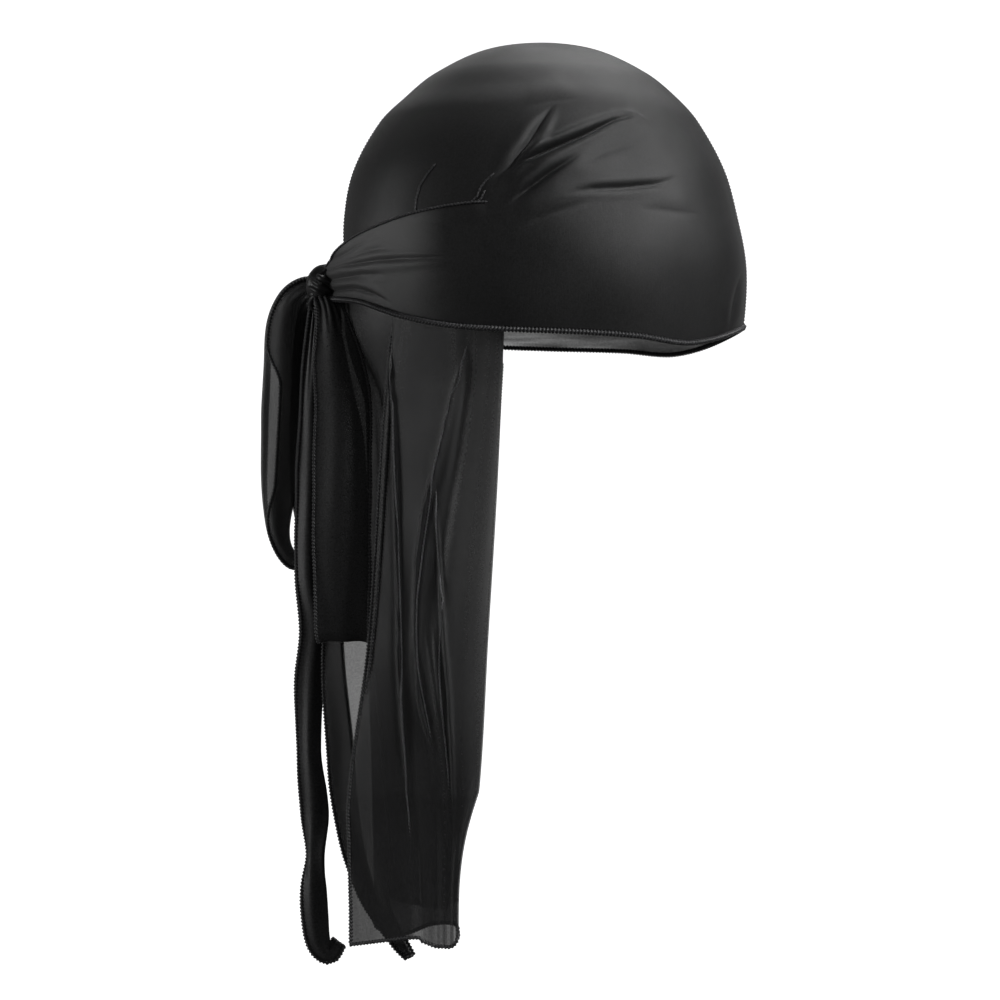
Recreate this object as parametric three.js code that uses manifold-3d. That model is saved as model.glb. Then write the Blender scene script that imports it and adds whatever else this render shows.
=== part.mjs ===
// Durag of thin silky knit, as it is worn: crown, wrapped ties, bow at the back and hanging cape.
// Millimetres. +X towards the forehead, +Y to the wearer's left, +Z up.
// The origin is the middle of the head opening, at the height of the hem.
import * as THREE from "three";
import { mergeVertices } from "three/addons/utils/BufferGeometryUtils.js";
import Module from "manifold-3d";

const wasm = await Module();
wasm.setup();

// Crown
const crownLength = 197;
const crownBreadth = 158;
const crownHeight = 142;
const crownWall = 1.6;
const seamGap = 0.4; // between the two panels along the centre seam
const eggShare = 0.05; // how much narrower the forehead is than the back, a share of the breadth
const tuckHeight = 9; // how far the crown stops above the hem where the cape is sewn on under the ties

// Ties round the head
const tieWall = 1.2;
const layerGap = 0.4; // clearance between one layer of cloth and the next
const tieStandoff = 9; // how far the ties leave the crown where they run into the knot
const tieFoldDepth = 2.2;

// Knot and bow
const knotLength = 20;
const knotBreadth = 30;
const knotHeight = 21;
const knotStandoff = 8.8; // knot's middle behind the back of the crown
const knotRise = 23.5; // knot's middle above the hem plane
const outerLoopDrop = 139;
const outerLoopReach = 31; // how far the outer loop swings out behind the knot's middle
const innerLoopDrop = 173;
const narrowEndDrop = 333;
const wideEndDrop = 322;
const loopWidth = 27;
const outerLoopWidth = 18;
const narrowEndWidth = 14;
const wideEndWidth = 31;
const bowSpread = 26; // how far each loop stands out to its side of the knot

// Cape
const capeDrop = 292; // hem plane to the lowest point of the cape's hem
const capeWall = 1.2;
const capeSeamGap = 1.1; // between the crown's edge and the cape sewn on below it

const halfLength = crownLength / 2;
const halfBreadth = crownBreadth / 2;
const knotMiddle = new THREE.Vector3(-halfLength - knotStandoff, 0, knotRise);

// Crown from the apex down. at: share of the way down the wall; height: share of the crown's height;
// back, front: shares of half its length; side: share of half its breadth.
// The first row mirrors the third one, so that the top stays round.
const crownRows = [
  { at: -0.135, height: 0.976, back: -0.298, front: -0.269, side: -0.3 },
  { at: 0, height: 1, back: 0, front: 0, side: 0 },
  { at: 0.135, height: 0.976, back: 0.298, front: 0.269, side: 0.3 },
  { at: 0.265, height: 0.893, back: 0.552, front: 0.518, side: 0.56 },
  { at: 0.353, height: 0.811, back: 0.696, front: 0.662, side: 0.7 },
  { at: 0.43, height: 0.728, back: 0.816, front: 0.766, side: 0.81 },
  { at: 0.558, height: 0.562, back: 0.945, front: 0.895, side: 0.93 },
  { at: 0.672, height: 0.397, back: 0.99, front: 0.96, side: 0.985 },
  { at: 0.78, height: 0.246, back: 0.985, front: 1, side: 1 },
  { at: 0.88, height: 0.1, back: 0.95, front: 0.998, side: 0.985 },
  { at: 1, height: -0.085, back: 0.885, front: 0.965, side: 0.93 },
];

// Hem line round the head. at: share of a half turn from the forehead; rise: share of the crown's height.
const hemRows = [
  { at: 0, rise: 0.031 },
  { at: 0.1, rise: 0.006 },
  { at: 0.25, rise: -0.048 },
  { at: 0.36, rise: -0.03 },
  { at: 0.5, rise: -0.018 },
  { at: 0.573, rise: -0.012 },
  { at: 0.663, rise: 0.003 },
  { at: 0.766, rise: 0.044 },
  { at: 0.86, rise: 0.097 },
  { at: 0.95, rise: 0.128 },
  { at: 1, rise: 0.14 },
];

// Creases of the crown, seen from the side. from and to: shares of half the length forwards and of the
// height; width in shares of the height; near and far: depth on the right and left panel, in shares of
// the height, below zero for a valley.
const crownFolds = [
  { fromX: -0.13, fromZ: 0.58, toX: 0.03, toZ: 0.71, width: 0.034, near: -0.012, far: -0.008 },
  { fromX: -0.05, fromZ: 0.57, toX: 0.12, toZ: 0.71, width: 0.034, near: 0.009, far: 0.008 },
  { fromX: -0.14, fromZ: 0.5, toX: 0.35, toZ: 0.69, width: 0.038, near: -0.015, far: -0.01 },
  { fromX: -0.13, fromZ: 0.43, toX: 0.17, toZ: 0.575, width: 0.042, near: 0.012, far: 0.009 },
  { fromX: 0.14, fromZ: 0.43, toX: 0.62, toZ: 0.49, width: 0.034, near: -0.011, far: -0.009 },
  { fromX: 0.36, fromZ: 0.5, toX: 0.6, toZ: 0.535, width: 0.034, near: 0.009, far: 0.005 },
  { fromX: -0.08, fromZ: 0.336, toX: 0.17, toZ: 0.394, width: 0.04, near: 0.006, far: 0.008 },
  { fromX: 0.47, fromZ: 0.38, toX: 0.7, toZ: 0.376, width: 0.034, near: -0.006, far: -0.004 },
];

// Tie wrapped over the crown. at: share of a half turn from the forehead; top: its upper edge in shares
// of the crown's height; lift: share of the standoff at the knot; gather: share of the fold depth.
const wrapRows = [
  { at: 0.56, top: 0.4, lift: 0, gather: 0 },
  { at: 0.619, top: 0.398, lift: 0, gather: 0.1 },
  { at: 0.67, top: 0.387, lift: 0, gather: 0.25 },
  { at: 0.718, top: 0.372, lift: 0.01, gather: 0.4 },
  { at: 0.8, top: 0.339, lift: 0.05, gather: 0.6 },
  { at: 0.867, top: 0.312, lift: 0.2, gather: 0.8 },
  { at: 0.92, top: 0.28, lift: 0.55, gather: 1 },
  { at: 0.975, top: 0.235, lift: 1, gather: 0.9 },
];
const notchTurn = 0.619; // where the tie's upper edge leaves the crown
const hemTurn = 0.555; // where its front end meets the hem
const wrapEnd = 0.972;

// Bow loops and loose ends, from the knot. at: share of the length; back: share of the outer loop's reach
// behind the knot's middle; side: share of the bow's spread to the wearer's left; drop: share of the
// piece's own drop; width: share of its own width; turn: degrees about its length; bow, pleat: shares of
// its width that its middle and its gathers stand out of its plane.
const outerLoopRows = [
  { at: 0, back: 0.08, side: 0.2, drop: -0.02, width: 0.45, turn: 0, bow: 0.1, pleat: 0 },
  { at: 0.05, back: 0.3, side: 0.34, drop: -0.045, width: 0.5, turn: 0, bow: 0.15, pleat: 0.04 },
  { at: 0.1, back: 0.58, side: 0.46, drop: 0, width: 0.75, turn: 0, bow: 0.2, pleat: 0.06 },
  { at: 0.17, back: 0.71, side: 0.52, drop: 0.13, width: 0.95, turn: 0, bow: 0.2, pleat: 0.07 },
  { at: 0.3, back: 0.74, side: 0.58, drop: 0.4, width: 1.02, turn: 0, bow: 0.18, pleat: 0.07 },
  { at: 0.42, back: 0.78, side: 0.62, drop: 0.65, width: 0.98, turn: 0, bow: 0.15, pleat: 0.06 },
  { at: 0.5, back: 0.8, side: 0.66, drop: 0.83, width: 0.68, turn: 0, bow: 0.15, pleat: 0.04 },
  { at: 0.55, back: 0.7, side: 0.68, drop: 0.925, width: 0.5, turn: 0, bow: 0.15, pleat: 0.02 },
  { at: 0.585, back: 0.5, side: 0.7, drop: 0.968, width: 0.46, turn: 0, bow: 0.15, pleat: 0.02 },
  { at: 0.62, back: 0.31, side: 0.72, drop: 0.9, width: 0.48, turn: 0, bow: 0.15, pleat: 0.02 },
  { at: 0.7, back: 0.26, side: 0.7, drop: 0.7, width: 0.6, turn: 0, bow: 0.15, pleat: 0.04 },
  { at: 0.83, back: 0.2, side: 0.6, drop: 0.38, width: 0.62, turn: 0, bow: 0.15, pleat: 0.04 },
  { at: 0.94, back: 0.12, side: 0.48, drop: 0.12, width: 0.55, turn: 0, bow: 0.12, pleat: 0.02 },
  { at: 1, back: 0.02, side: 0.3, drop: 0.02, width: 0.4, turn: 0, bow: 0.1, pleat: 0 },
];
const innerLoopRows = [
  { at: 0, back: 0.12, side: -0.3, drop: 0.02, width: 0.3, turn: 0, bow: 0.1, pleat: 0 },
  { at: 0.06, back: 0.1, side: -0.62, drop: 0.09, width: 0.42, turn: 0, bow: 0.16, pleat: 0.03 },
  { at: 0.14, back: -0.08, side: -0.86, drop: 0.25, width: 0.66, turn: 0, bow: 0.16, pleat: 0.05 },
  { at: 0.22, back: -0.3, side: -0.96, drop: 0.42, width: 0.94, turn: 0, bow: 0.13, pleat: 0.05 },
  { at: 0.36, back: -0.3, side: -1, drop: 0.72, width: 1, turn: 0, bow: 0.1, pleat: 0.05 },
  { at: 0.47, back: -0.3, side: -1, drop: 0.955, width: 1, turn: 0, bow: 0.04, pleat: 0.03 },
  { at: 0.5, back: -0.3, side: -0.88, drop: 1, width: 0.98, turn: 0, bow: 0, pleat: 0.02 },
  { at: 0.53, back: -0.3, side: -0.76, drop: 0.955, width: 0.96, turn: 0, bow: 0, pleat: 0.02 },
  { at: 0.64, back: -0.28, side: -0.74, drop: 0.72, width: 0.9, turn: 0, bow: 0, pleat: 0.02 },
  { at: 0.78, back: -0.22, side: -0.68, drop: 0.42, width: 0.7, turn: 0, bow: 0, pleat: 0.02 },
  { at: 0.9, back: -0.06, side: -0.5, drop: 0.18, width: 0.45, turn: 0, bow: 0, pleat: 0.02 },
  { at: 1, back: 0, side: -0.2, drop: 0.03, width: 0.3, turn: 0, bow: 0, pleat: 0 },
];
const narrowEndRows = [
  { at: 0, back: 0.1, side: 0.08, drop: 0.01, width: 0.55, turn: 0, bow: 0.1, pleat: 0 },
  { at: 0.08, back: 0.16, side: 0.12, drop: 0.08, width: 0.7, turn: 0, bow: 0.2, pleat: 0.05 },
  { at: 0.2, back: 0.2, side: 0.14, drop: 0.2, width: 0.95, turn: 0, bow: 0.2, pleat: 0.08 },
  { at: 0.42, back: 0.24, side: 0.14, drop: 0.42, width: 1.05, turn: 0, bow: 0.2, pleat: 0.08 },
  { at: 0.5, back: 0.17, side: 0.15, drop: 0.5, width: 0.95, turn: -10, bow: 0.2, pleat: 0.06 },
  { at: 0.58, back: 0.25, side: 0.16, drop: 0.58, width: 1, turn: 0, bow: 0.2, pleat: 0.06 },
  { at: 0.68, back: 0.25, side: 0.15, drop: 0.68, width: 0.82, turn: 18, bow: 0.2, pleat: 0.05 },
  { at: 0.77, back: 0.17, side: 0.13, drop: 0.77, width: 0.96, turn: 10, bow: 0.2, pleat: 0.05 },
  { at: 0.835, back: 0.15, side: 0.12, drop: 0.835, width: 0.66, turn: 60, bow: 0.25, pleat: 0.05 },
  { at: 0.9, back: 0.18, side: 0.12, drop: 0.9, width: 0.9, turn: 12, bow: 0.2, pleat: 0.04 },
  { at: 0.955, back: 0.16, side: 0.13, drop: 0.952, width: 0.84, turn: 0, bow: 0.2, pleat: 0.03 },
  { at: 1, back: -0.1, side: 0.14, drop: 0.985, width: 0.5, turn: 0, bow: 0.15, pleat: 0 },
];
const wideEndRows = [
  { at: 0, back: -0.1, side: -0.06, drop: 0.01, width: 0.24, turn: 0, bow: 0.1, pleat: 0 },
  { at: 0.1, back: -0.12, side: -0.14, drop: 0.1, width: 0.3, turn: 0, bow: 0.1, pleat: 0.02 },
  { at: 0.22, back: -0.24, side: -0.2, drop: 0.22, width: 0.38, turn: 0, bow: 0.1, pleat: 0.03 },
  { at: 0.42, back: -0.3, side: -0.28, drop: 0.42, width: 0.5, turn: 6, bow: 0.08, pleat: 0.03 },
  { at: 0.5, back: -0.33, side: -0.36, drop: 0.5, width: 0.62, turn: 14, bow: 0.06, pleat: 0.03 },
  { at: 0.58, back: -0.4, side: -0.56, drop: 0.58, width: 0.92, turn: 30, bow: 0.04, pleat: 0.03 },
  { at: 0.68, back: -0.5, side: -0.72, drop: 0.68, width: 1, turn: 34, bow: 0.02, pleat: 0.03 },
  { at: 0.8, back: -0.62, side: -0.84, drop: 0.8, width: 0.97, turn: 34, bow: 0.02, pleat: 0.02 },
  { at: 0.9, back: -0.86, side: -0.98, drop: 0.9, width: 0.74, turn: 32, bow: 0.02, pleat: 0.02 },
  { at: 1, back: -1.24, side: -1.12, drop: 1, width: 0.34, turn: 30, bow: 0, pleat: 0 },
];

// Lines down the cape, from its free edge on the wearer's right, forwards to the fold, back inside it,
// round the nape and forwards to the free edge on the left. seat: share of a half turn from the forehead
// where the line is sewn on; under: layers of cloth that it lies below the crown's surface there; x and y
// at the neck, middle, low and end of the line: shares of half the crown's length and breadth; drop:
// share of the cape's drop.
const capeLines = [
  { seat: 0.79, under: 0, drop: 1, neckX: -0.765, neckY: -0.49, midX: -0.853, midY: -0.43,
    lowX: -0.949, lowY: -0.38, endX: -0.944, endY: -0.33 },
  { seat: 0.77, under: 0, drop: 0.988, neckX: -0.735, neckY: -0.55, midX: -0.7, midY: -0.58,
    lowX: -0.68, lowY: -0.56, endX: -0.642, endY: -0.54 },
  { seat: 0.72, under: 0, drop: 0.99, neckX: -0.6, neckY: -0.655, midX: -0.66, midY: -0.5,
    lowX: -0.62, lowY: -0.47, endX: -0.59, endY: -0.43 },
  { seat: 0.66, under: 0, drop: 0.996, neckX: -0.432, neckY: -0.77, midX: -0.623, midY: -0.66,
    lowX: -0.545, lowY: -0.62, endX: -0.53, endY: -0.6 },
  { seat: 0.635, under: 0, drop: 0.998, neckX: -0.38, neckY: -0.74, midX: -0.55, midY: -0.6,
    lowX: -0.5, lowY: -0.55, endX: -0.495, endY: -0.51 },
  { seat: 0.615, under: 0, drop: 1, neckX: -0.33, neckY: -0.8, midX: -0.48, midY: -0.74,
    lowX: -0.44, lowY: -0.69, endX: -0.46, endY: -0.66 },
  { seat: 0.595, under: 0, drop: 0.995, neckX: -0.27, neckY: -0.82, midX: -0.385, midY: -0.7,
    lowX: -0.37, lowY: -0.64, endX: -0.44, endY: -0.6 },
  { seat: 0.577, under: 0.1, drop: 0.975, neckX: -0.225, neckY: -0.85, midX: -0.29, midY: -0.735,
    lowX: -0.33, lowY: -0.665, endX: -0.425, endY: -0.62 },
  { seat: 0.573, under: 1, drop: 0.97, neckX: -0.218, neckY: -0.82, midX: -0.28, midY: -0.7,
    lowX: -0.325, lowY: -0.63, endX: -0.42, endY: -0.585 },
  { seat: 0.583, under: 1.9, drop: 0.965, neckX: -0.26, neckY: -0.77, midX: -0.335, midY: -0.63,
    lowX: -0.365, lowY: -0.57, endX: -0.44, endY: -0.53 },
  { seat: 0.66, under: 2, drop: 0.94, neckX: -0.45, neckY: -0.66, midX: -0.52, midY: -0.47,
    lowX: -0.53, lowY: -0.42, endX: -0.55, endY: -0.38 },
  { seat: 0.76, under: 2, drop: 0.92, neckX: -0.66, neckY: -0.48, midX: -0.7, midY: -0.3,
    lowX: -0.71, lowY: -0.27, endX: -0.72, endY: -0.24 },
  { seat: 0.87, under: 1, drop: 0.91, neckX: -0.83, neckY: -0.24, midX: -0.868, midY: -0.14,
    lowX: -0.86, lowY: -0.13, endX: -0.84, endY: -0.12 },
  { seat: 1, under: 0, drop: 0.925, neckX: -0.885, neckY: 0, midX: -0.885, midY: 0.02,
    lowX: -0.865, lowY: 0.03, endX: -0.85, endY: 0.03 },
  { seat: 1.13, under: 0, drop: 0.95, neckX: -0.82, neckY: 0.28, midX: -0.83, midY: 0.2,
    lowX: -0.81, lowY: 0.22, endX: -0.8, endY: 0.23 },
  { seat: 1.24, under: 0, drop: 0.97, neckX: -0.67, neckY: 0.55, midX: -0.72, midY: 0.45,
    lowX: -0.7, lowY: 0.46, endX: -0.69, endY: 0.47 },
  { seat: 1.32, under: 0, drop: 0.98, neckX: -0.51, neckY: 0.68, midX: -0.58, midY: 0.52,
    lowX: -0.56, lowY: 0.51, endX: -0.55, endY: 0.5 },
  { seat: 1.38, under: 0, drop: 0.985, neckX: -0.38, neckY: 0.78, midX: -0.46, midY: 0.71,
    lowX: -0.45, lowY: 0.68, endX: -0.45, endY: 0.65 },
  { seat: 1.427, under: 0, drop: 0.965, neckX: -0.22, neckY: 0.84, midX: -0.29, midY: 0.72,
    lowX: -0.32, lowY: 0.66, endX: -0.41, endY: 0.6 },
];
const capeNeck = 0.1; // heights of those stations, in shares of each line's drop below the hem plane
const capeMiddle = 0.51;
const capeLow = 0.76;

// Grids, in faces
const crownColumns = 29;
const crownRings = 20;
const wrapColumns = 14;
const wrapLanes = 4;
const ribbonLanes = 4;
const capeColumnsPerLine = 3;
const capeSteps = 13;

const clamp = THREE.MathUtils.clamp;
const mix = THREE.MathUtils.lerp;

// Smooth value of one column of a table, whose rows rise in "at".
function column(rows, name, at) {
  const last = rows.length - 1;
  const slope = (k) => {
    const before = rows[Math.max(k - 1, 0)];
    const after = rows[Math.min(k + 1, last)];
    return (after[name] - before[name]) / (after.at - before.at);
  };
  let i = 0;
  while (i < last - 1 && rows[i + 1].at <= at) i += 1;
  const step = rows[i + 1].at - rows[i].at;
  const s = clamp((at - rows[i].at) / step, 0, 1);
  const rise = s * s * (3 - 2 * s);
  const leave = slope(i) * step * s * (1 - s) * (1 - s);
  const arrive = slope(i + 1) * step * s * s * (1 - s);
  return mix(rows[i][name], rows[i + 1][name], rise) + leave - arrive;
}

// Closed wall between the two faces of one grid. point(u, v, face) gives face 0 and face 1.
function wallGeometry(point, columns, rows) {
  const positions = [];
  const index = [];
  const vertex = (i, j, face) => (face * (rows + 1) + j) * (columns + 1) + i;
  for (const face of [0, 1])
    for (let j = 0; j <= rows; j += 1)
      for (let i = 0; i <= columns; i += 1) positions.push(...point(i / columns, j / rows, face));
  const quad = (a, b, c, d) => index.push(a, b, c, a, c, d);
  for (let j = 0; j < rows; j += 1)
    for (let i = 0; i < columns; i += 1) {
      quad(vertex(i, j, 0), vertex(i + 1, j, 0), vertex(i + 1, j + 1, 0), vertex(i, j + 1, 0));
      quad(vertex(i, j, 1), vertex(i, j + 1, 1), vertex(i + 1, j + 1, 1), vertex(i + 1, j, 1));
    }
  for (let i = 0; i < columns; i += 1) {
    quad(vertex(i, 0, 0), vertex(i, 0, 1), vertex(i + 1, 0, 1), vertex(i + 1, 0, 0));
    quad(vertex(i, rows, 0), vertex(i + 1, rows, 0), vertex(i + 1, rows, 1), vertex(i, rows, 1));
  }
  for (let j = 0; j < rows; j += 1) {
    quad(vertex(0, j, 0), vertex(0, j + 1, 0), vertex(0, j + 1, 1), vertex(0, j, 1));
    quad(vertex(columns, j, 0), vertex(columns, j, 1), vertex(columns, j + 1, 1), vertex(columns, j + 1, 0));
  }
  return closedGeometry(positions, index);
}

// Merges the vertices that meet, drops the faces that collapse and turns the faces outwards.
function closedGeometry(positions, index) {
  const loose = new THREE.BufferGeometry();
  loose.setAttribute("position", new THREE.Float32BufferAttribute(positions, 3));
  loose.setIndex(index);
  const merged = mergeVertices(loose, 1e-3);
  const old = merged.index.array;
  const place = merged.attributes.position;
  const kept = [];
  const [a, b, c] = [new THREE.Vector3(), new THREE.Vector3(), new THREE.Vector3()];
  let volume = 0;
  for (let k = 0; k < old.length; k += 3) {
    const [p, q, r] = [old[k], old[k + 1], old[k + 2]];
    if (p === q || q === r || r === p) continue;
    kept.push(p, q, r);
    a.fromBufferAttribute(place, p);
    b.fromBufferAttribute(place, q);
    c.fromBufferAttribute(place, r);
    volume += a.dot(b.cross(c)) / 6;
  }
  if (volume < 0) kept.reverse();
  merged.setIndex(kept);
  return merged;
}

const solidOf = (geometry) =>
  new wasm.Manifold(
    new wasm.Mesh({
      numProp: 3,
      vertProperties: geometry.attributes.position.array,
      triVerts: new Uint32Array(geometry.index.array),
    }),
  );

function geometryOf(solid) {
  const mesh = solid.getMesh();
  return closedGeometry([...mesh.vertProperties], [...mesh.triVerts]);
}

// Crown's smooth surface. at: share of the way down; turn: share of a half turn from the forehead,
// by the wearer's right side.
function crownBase(at, turn) {
  const forwards = Math.cos(Math.PI * turn);
  const right = Math.sin(Math.PI * turn);
  const reach = column(crownRows, forwards > 0 ? "front" : "back", at);
  const side = column(crownRows, "side", at) * (1 - eggShare * forwards);
  return new THREE.Vector3(
    halfLength * reach * forwards,
    -halfBreadth * side * right,
    crownHeight * column(crownRows, "height", at),
  );
}

function crownNormal(at, turn) {
  const step = 0.004;
  if (at < step) return new THREE.Vector3(0, 0, 1);
  const down = crownBase(at + step, turn).sub(crownBase(at - step, turn));
  const round = crownBase(at, turn + step).sub(crownBase(at, turn - step));
  return round.cross(down).normalize();
}

// Share of the way down at which the crown has a height z.
function crownAt(z) {
  let [high, low] = [0, 1];
  for (let k = 0; k < 40; k += 1) {
    const middle = (high + low) / 2;
    if (crownHeight * column(crownRows, "height", middle) > z) high = middle;
    else low = middle;
  }
  return (high + low) / 2;
}

const hemHeight = (turn) => crownHeight * column(hemRows, "rise", turn > 1 ? 2 - turn : turn);

// Where the cape is sewn on, the crown's panels stop a tuck above the hem.
const edgeHeight = (turn) =>
  hemHeight(turn) + tuckHeight * THREE.MathUtils.smoothstep(turn > 1 ? 2 - turn : turn, hemTurn, notchTurn);

// How far the creases lift the crown's cloth at a point of its smooth surface.
function creaseLift(place) {
  const x = place.x / halfLength;
  const z = place.z / crownHeight;
  const longer = halfLength / crownHeight;
  let lift = 0;
  for (const fold of crownFolds) {
    const alongX = (fold.toX - fold.fromX) * longer;
    const alongZ = fold.toZ - fold.fromZ;
    const length = Math.hypot(alongX, alongZ);
    const dx = (x - fold.fromX) * longer;
    const dz = z - fold.fromZ;
    const along = (dx * alongX + dz * alongZ) / (length * length);
    const across = (dx * alongZ - dz * alongX) / length;
    const past = (Math.max(0, -along, along - 1) * length) / (2 * fold.width);
    const depth = place.y < 0 ? fold.near : fold.far;
    lift += depth * Math.exp(-((across / fold.width) ** 2) - past * past);
  }
  const towardsTop = THREE.MathUtils.smoothstep(Math.abs(place.y), 0.1 * halfBreadth, 0.4 * halfBreadth);
  return crownHeight * lift * towardsTop;
}

function crownPlace(at, turn, proud) {
  const place = crownBase(at, turn);
  const lift = creaseLift(place);
  return place.addScaledVector(crownNormal(at, turn), proud + lift);
}

// One half of the crown.
function crownPanel(hand) {
  const point = (u, v, face) => {
    const at = v * crownAt(edgeHeight(u));
    const place = crownPlace(at, hand * u, -face * crownWall);
    return [place.x, place.y - (hand * seamGap) / 2, place.z];
  };
  return wallGeometry(point, crownColumns, crownRings);
}

// Tie over the crown, from its slanted front end back into the knot.
function wrapLayer(hand) {
  const point = (u, v, face) => {
    const turn = mix(mix(notchTurn, hemTurn, v), wrapEnd, u);
    const top = crownHeight * column(wrapRows, "top", turn);
    const at = crownAt(mix(top, hemHeight(turn), v));
    const gather = (1 - Math.cos(4 * Math.PI * v)) / 2;
    const standoff = tieStandoff * column(wrapRows, "lift", turn);
    const lift = standoff + tieFoldDepth * column(wrapRows, "gather", turn) * gather;
    const proud = layerGap + (1 - face) * tieWall + lift;
    const place = crownPlace(at, hand * turn, proud);
    return [place.x, place.y - (hand * seamGap) / 2, place.z];
  };
  return wallGeometry(point, wrapColumns, wrapLanes);
}

// Knot: a wound lump with a knuckle under it. grow makes it larger all round.
function knotSolid(grow) {
  const lump = (middle, size, turns, ridge) => {
    const sphere = new THREE.SphereGeometry(1, 18, 10);
    sphere.deleteAttribute("normal");
    sphere.deleteAttribute("uv");
    const place = sphere.attributes.position;
    const p = new THREE.Vector3();
    for (let k = 0; k < place.count; k += 1) {
      p.fromBufferAttribute(place, k);
      const winding = Math.atan2(p.y, p.x) + 2.2 * p.z;
      const swell = 1 + ridge * Math.cos(turns * winding) * (1 - p.z * p.z);
      p.multiplyScalar(swell);
      place.setXYZ(
        k,
        middle.x + p.x * (size.x / 2 + grow),
        middle.y + p.y * (size.y / 2 + grow),
        middle.z + p.z * (size.z / 2 + grow),
      );
    }
    return solidOf(closedGeometry([...place.array], [...sphere.index.array]));
  };
  const body = lump(knotMiddle, new THREE.Vector3(knotLength, knotBreadth, knotHeight), 3, 0.07);
  const knuckleMiddle = knotMiddle.clone();
  knuckleMiddle.x -= 0.08 * knotLength;
  knuckleMiddle.y -= 0.1 * knotBreadth;
  knuckleMiddle.z -= 0.48 * knotHeight;
  const knuckleSize = new THREE.Vector3(0.55 * knotLength, 0.5 * knotBreadth, 0.6 * knotHeight);
  return body.add(lump(knuckleMiddle, knuckleSize, 2, 0.05));
}

// Strip of tie along a row table, cut back to its clearance from the knot. folded strips turn over at
// their lowest point, flat ones bend in their own plane.
function ribbon(rows, drop, width, steps, folded) {
  const centre = (at) =>
    new THREE.Vector3(
      knotMiddle.x - outerLoopReach * column(rows, "back", at),
      bowSpread * column(rows, "side", at),
      knotMiddle.z - drop * column(rows, "drop", at),
    );
  const point = (u, v, face) => {
    const step = 0.002;
    const along = centre(Math.min(u + step, 1)).sub(centre(Math.max(u - step, 0))).normalize();
    const across = folded ? new THREE.Vector3(1, 0, 0) : along.clone().cross(new THREE.Vector3(0, 1, 0));
    across.addScaledVector(along, -across.dot(along)).normalize();
    across.applyAxisAngle(along, THREE.MathUtils.degToRad(column(rows, "turn", u)));
    const out = along.clone().cross(across);
    const share = v - 0.5;
    const breadth = width * column(rows, "width", u);
    const bow = column(rows, "bow", u) * (1 - 4 * share * share);
    const pleat = column(rows, "pleat", u) * Math.cos(4 * Math.PI * share);
    return centre(u)
      .addScaledVector(across, breadth * share)
      .addScaledVector(out, breadth * (bow + pleat) + (face - 0.5) * tieWall);
  };
  const strip = solidOf(wallGeometry(point, steps, ribbonLanes));
  return geometryOf(strip.subtract(knotSolid(layerGap)));
}

// Cape: one sheet through its lines. Each line starts at the crown's edge, passes under the ties and falls.
function capeSheet() {
  const pitch = capeWall + 2 * layerGap;
  const underHem = 0.03;
  const lines = capeLines.map((line) => {
    const sewn = (height) => {
      const at = crownAt(height);
      const depth = (line.under * pitch) / 2 + capeWall / 2;
      return crownBase(at, line.seat).addScaledVector(crownNormal(at, line.seat), -depth);
    };
    const fall = (name, share) => ({
      at: share,
      x: halfLength * line[name + "X"],
      y: halfBreadth * line[name + "Y"],
      z: -capeDrop * line.drop * share,
    });
    const seam = sewn(edgeHeight(line.seat) - capeSeamGap);
    const hem = sewn(hemHeight(line.seat) - capeSeamGap);
    return [
      { at: 0, x: seam.x, y: seam.y, z: seam.z },
      { at: underHem, x: hem.x, y: hem.y, z: hem.z },
      fall("neck", capeNeck),
      fall("mid", capeMiddle),
      fall("low", capeLow),
      fall("end", 1),
    ];
  });
  const last = lines.length - 1;
  const sheet = (u, v) => {
    const across = clamp(u, 0, 1) * last;
    const from = Math.max(0, Math.floor(across) - 1);
    const down = clamp(v, 0, 1);
    const near = lines.slice(from, from + 4).map((stations, k) => ({
      at: from + k,
      x: column(stations, "x", down),
      y: column(stations, "y", down),
      z: column(stations, "z", down),
    }));
    const [x, y, z] = ["x", "y", "z"].map((name) => column(near, name, across));
    return new THREE.Vector3(x, y, z);
  };
  const step = 0.001;
  const point = (u, v, face) => {
    const round = sheet(u + step, v).sub(sheet(u - step, v));
    const down = sheet(u, v + step).sub(sheet(u, v - step));
    const out = down.cross(round).normalize();
    return sheet(u, v).addScaledVector(out, (face - 0.5) * capeWall);
  };
  return wallGeometry(point, last * capeColumnsPerLine, capeSteps);
}

const fabric = new THREE.MeshStandardMaterial({ color: 0x0c0c0d, roughness: 0.55, metalness: 0 });
const group = new THREE.Group();
function place(name, geometry) {
  const mesh = new THREE.Mesh(geometry, fabric.clone());
  mesh.name = name;
  group.add(mesh);
}

place("crown_right_panel", crownPanel(1));
place("crown_left_panel", crownPanel(-1));
place("tie_wrap_right", geometryOf(solidOf(wrapLayer(1)).subtract(knotSolid(layerGap))));
place("tie_wrap_left", geometryOf(solidOf(wrapLayer(-1)).subtract(knotSolid(layerGap))));
place("knot", geometryOf(knotSolid(0)));
place("bow_loop_outer", ribbon(outerLoopRows, outerLoopDrop, outerLoopWidth, 30, false));
place("bow_loop_inner", ribbon(innerLoopRows, innerLoopDrop, loopWidth, 28, true));
place("tie_end_narrow", ribbon(narrowEndRows, narrowEndDrop, narrowEndWidth, 24, false));
place("tie_end_wide", ribbon(wideEndRows, wideEndDrop, wideEndWidth, 20, false));
place("cape", capeSheet());

export default group;
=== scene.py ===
import bisect
import math

import bmesh
import bpy
from mathutils import Matrix, Vector, noise


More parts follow.
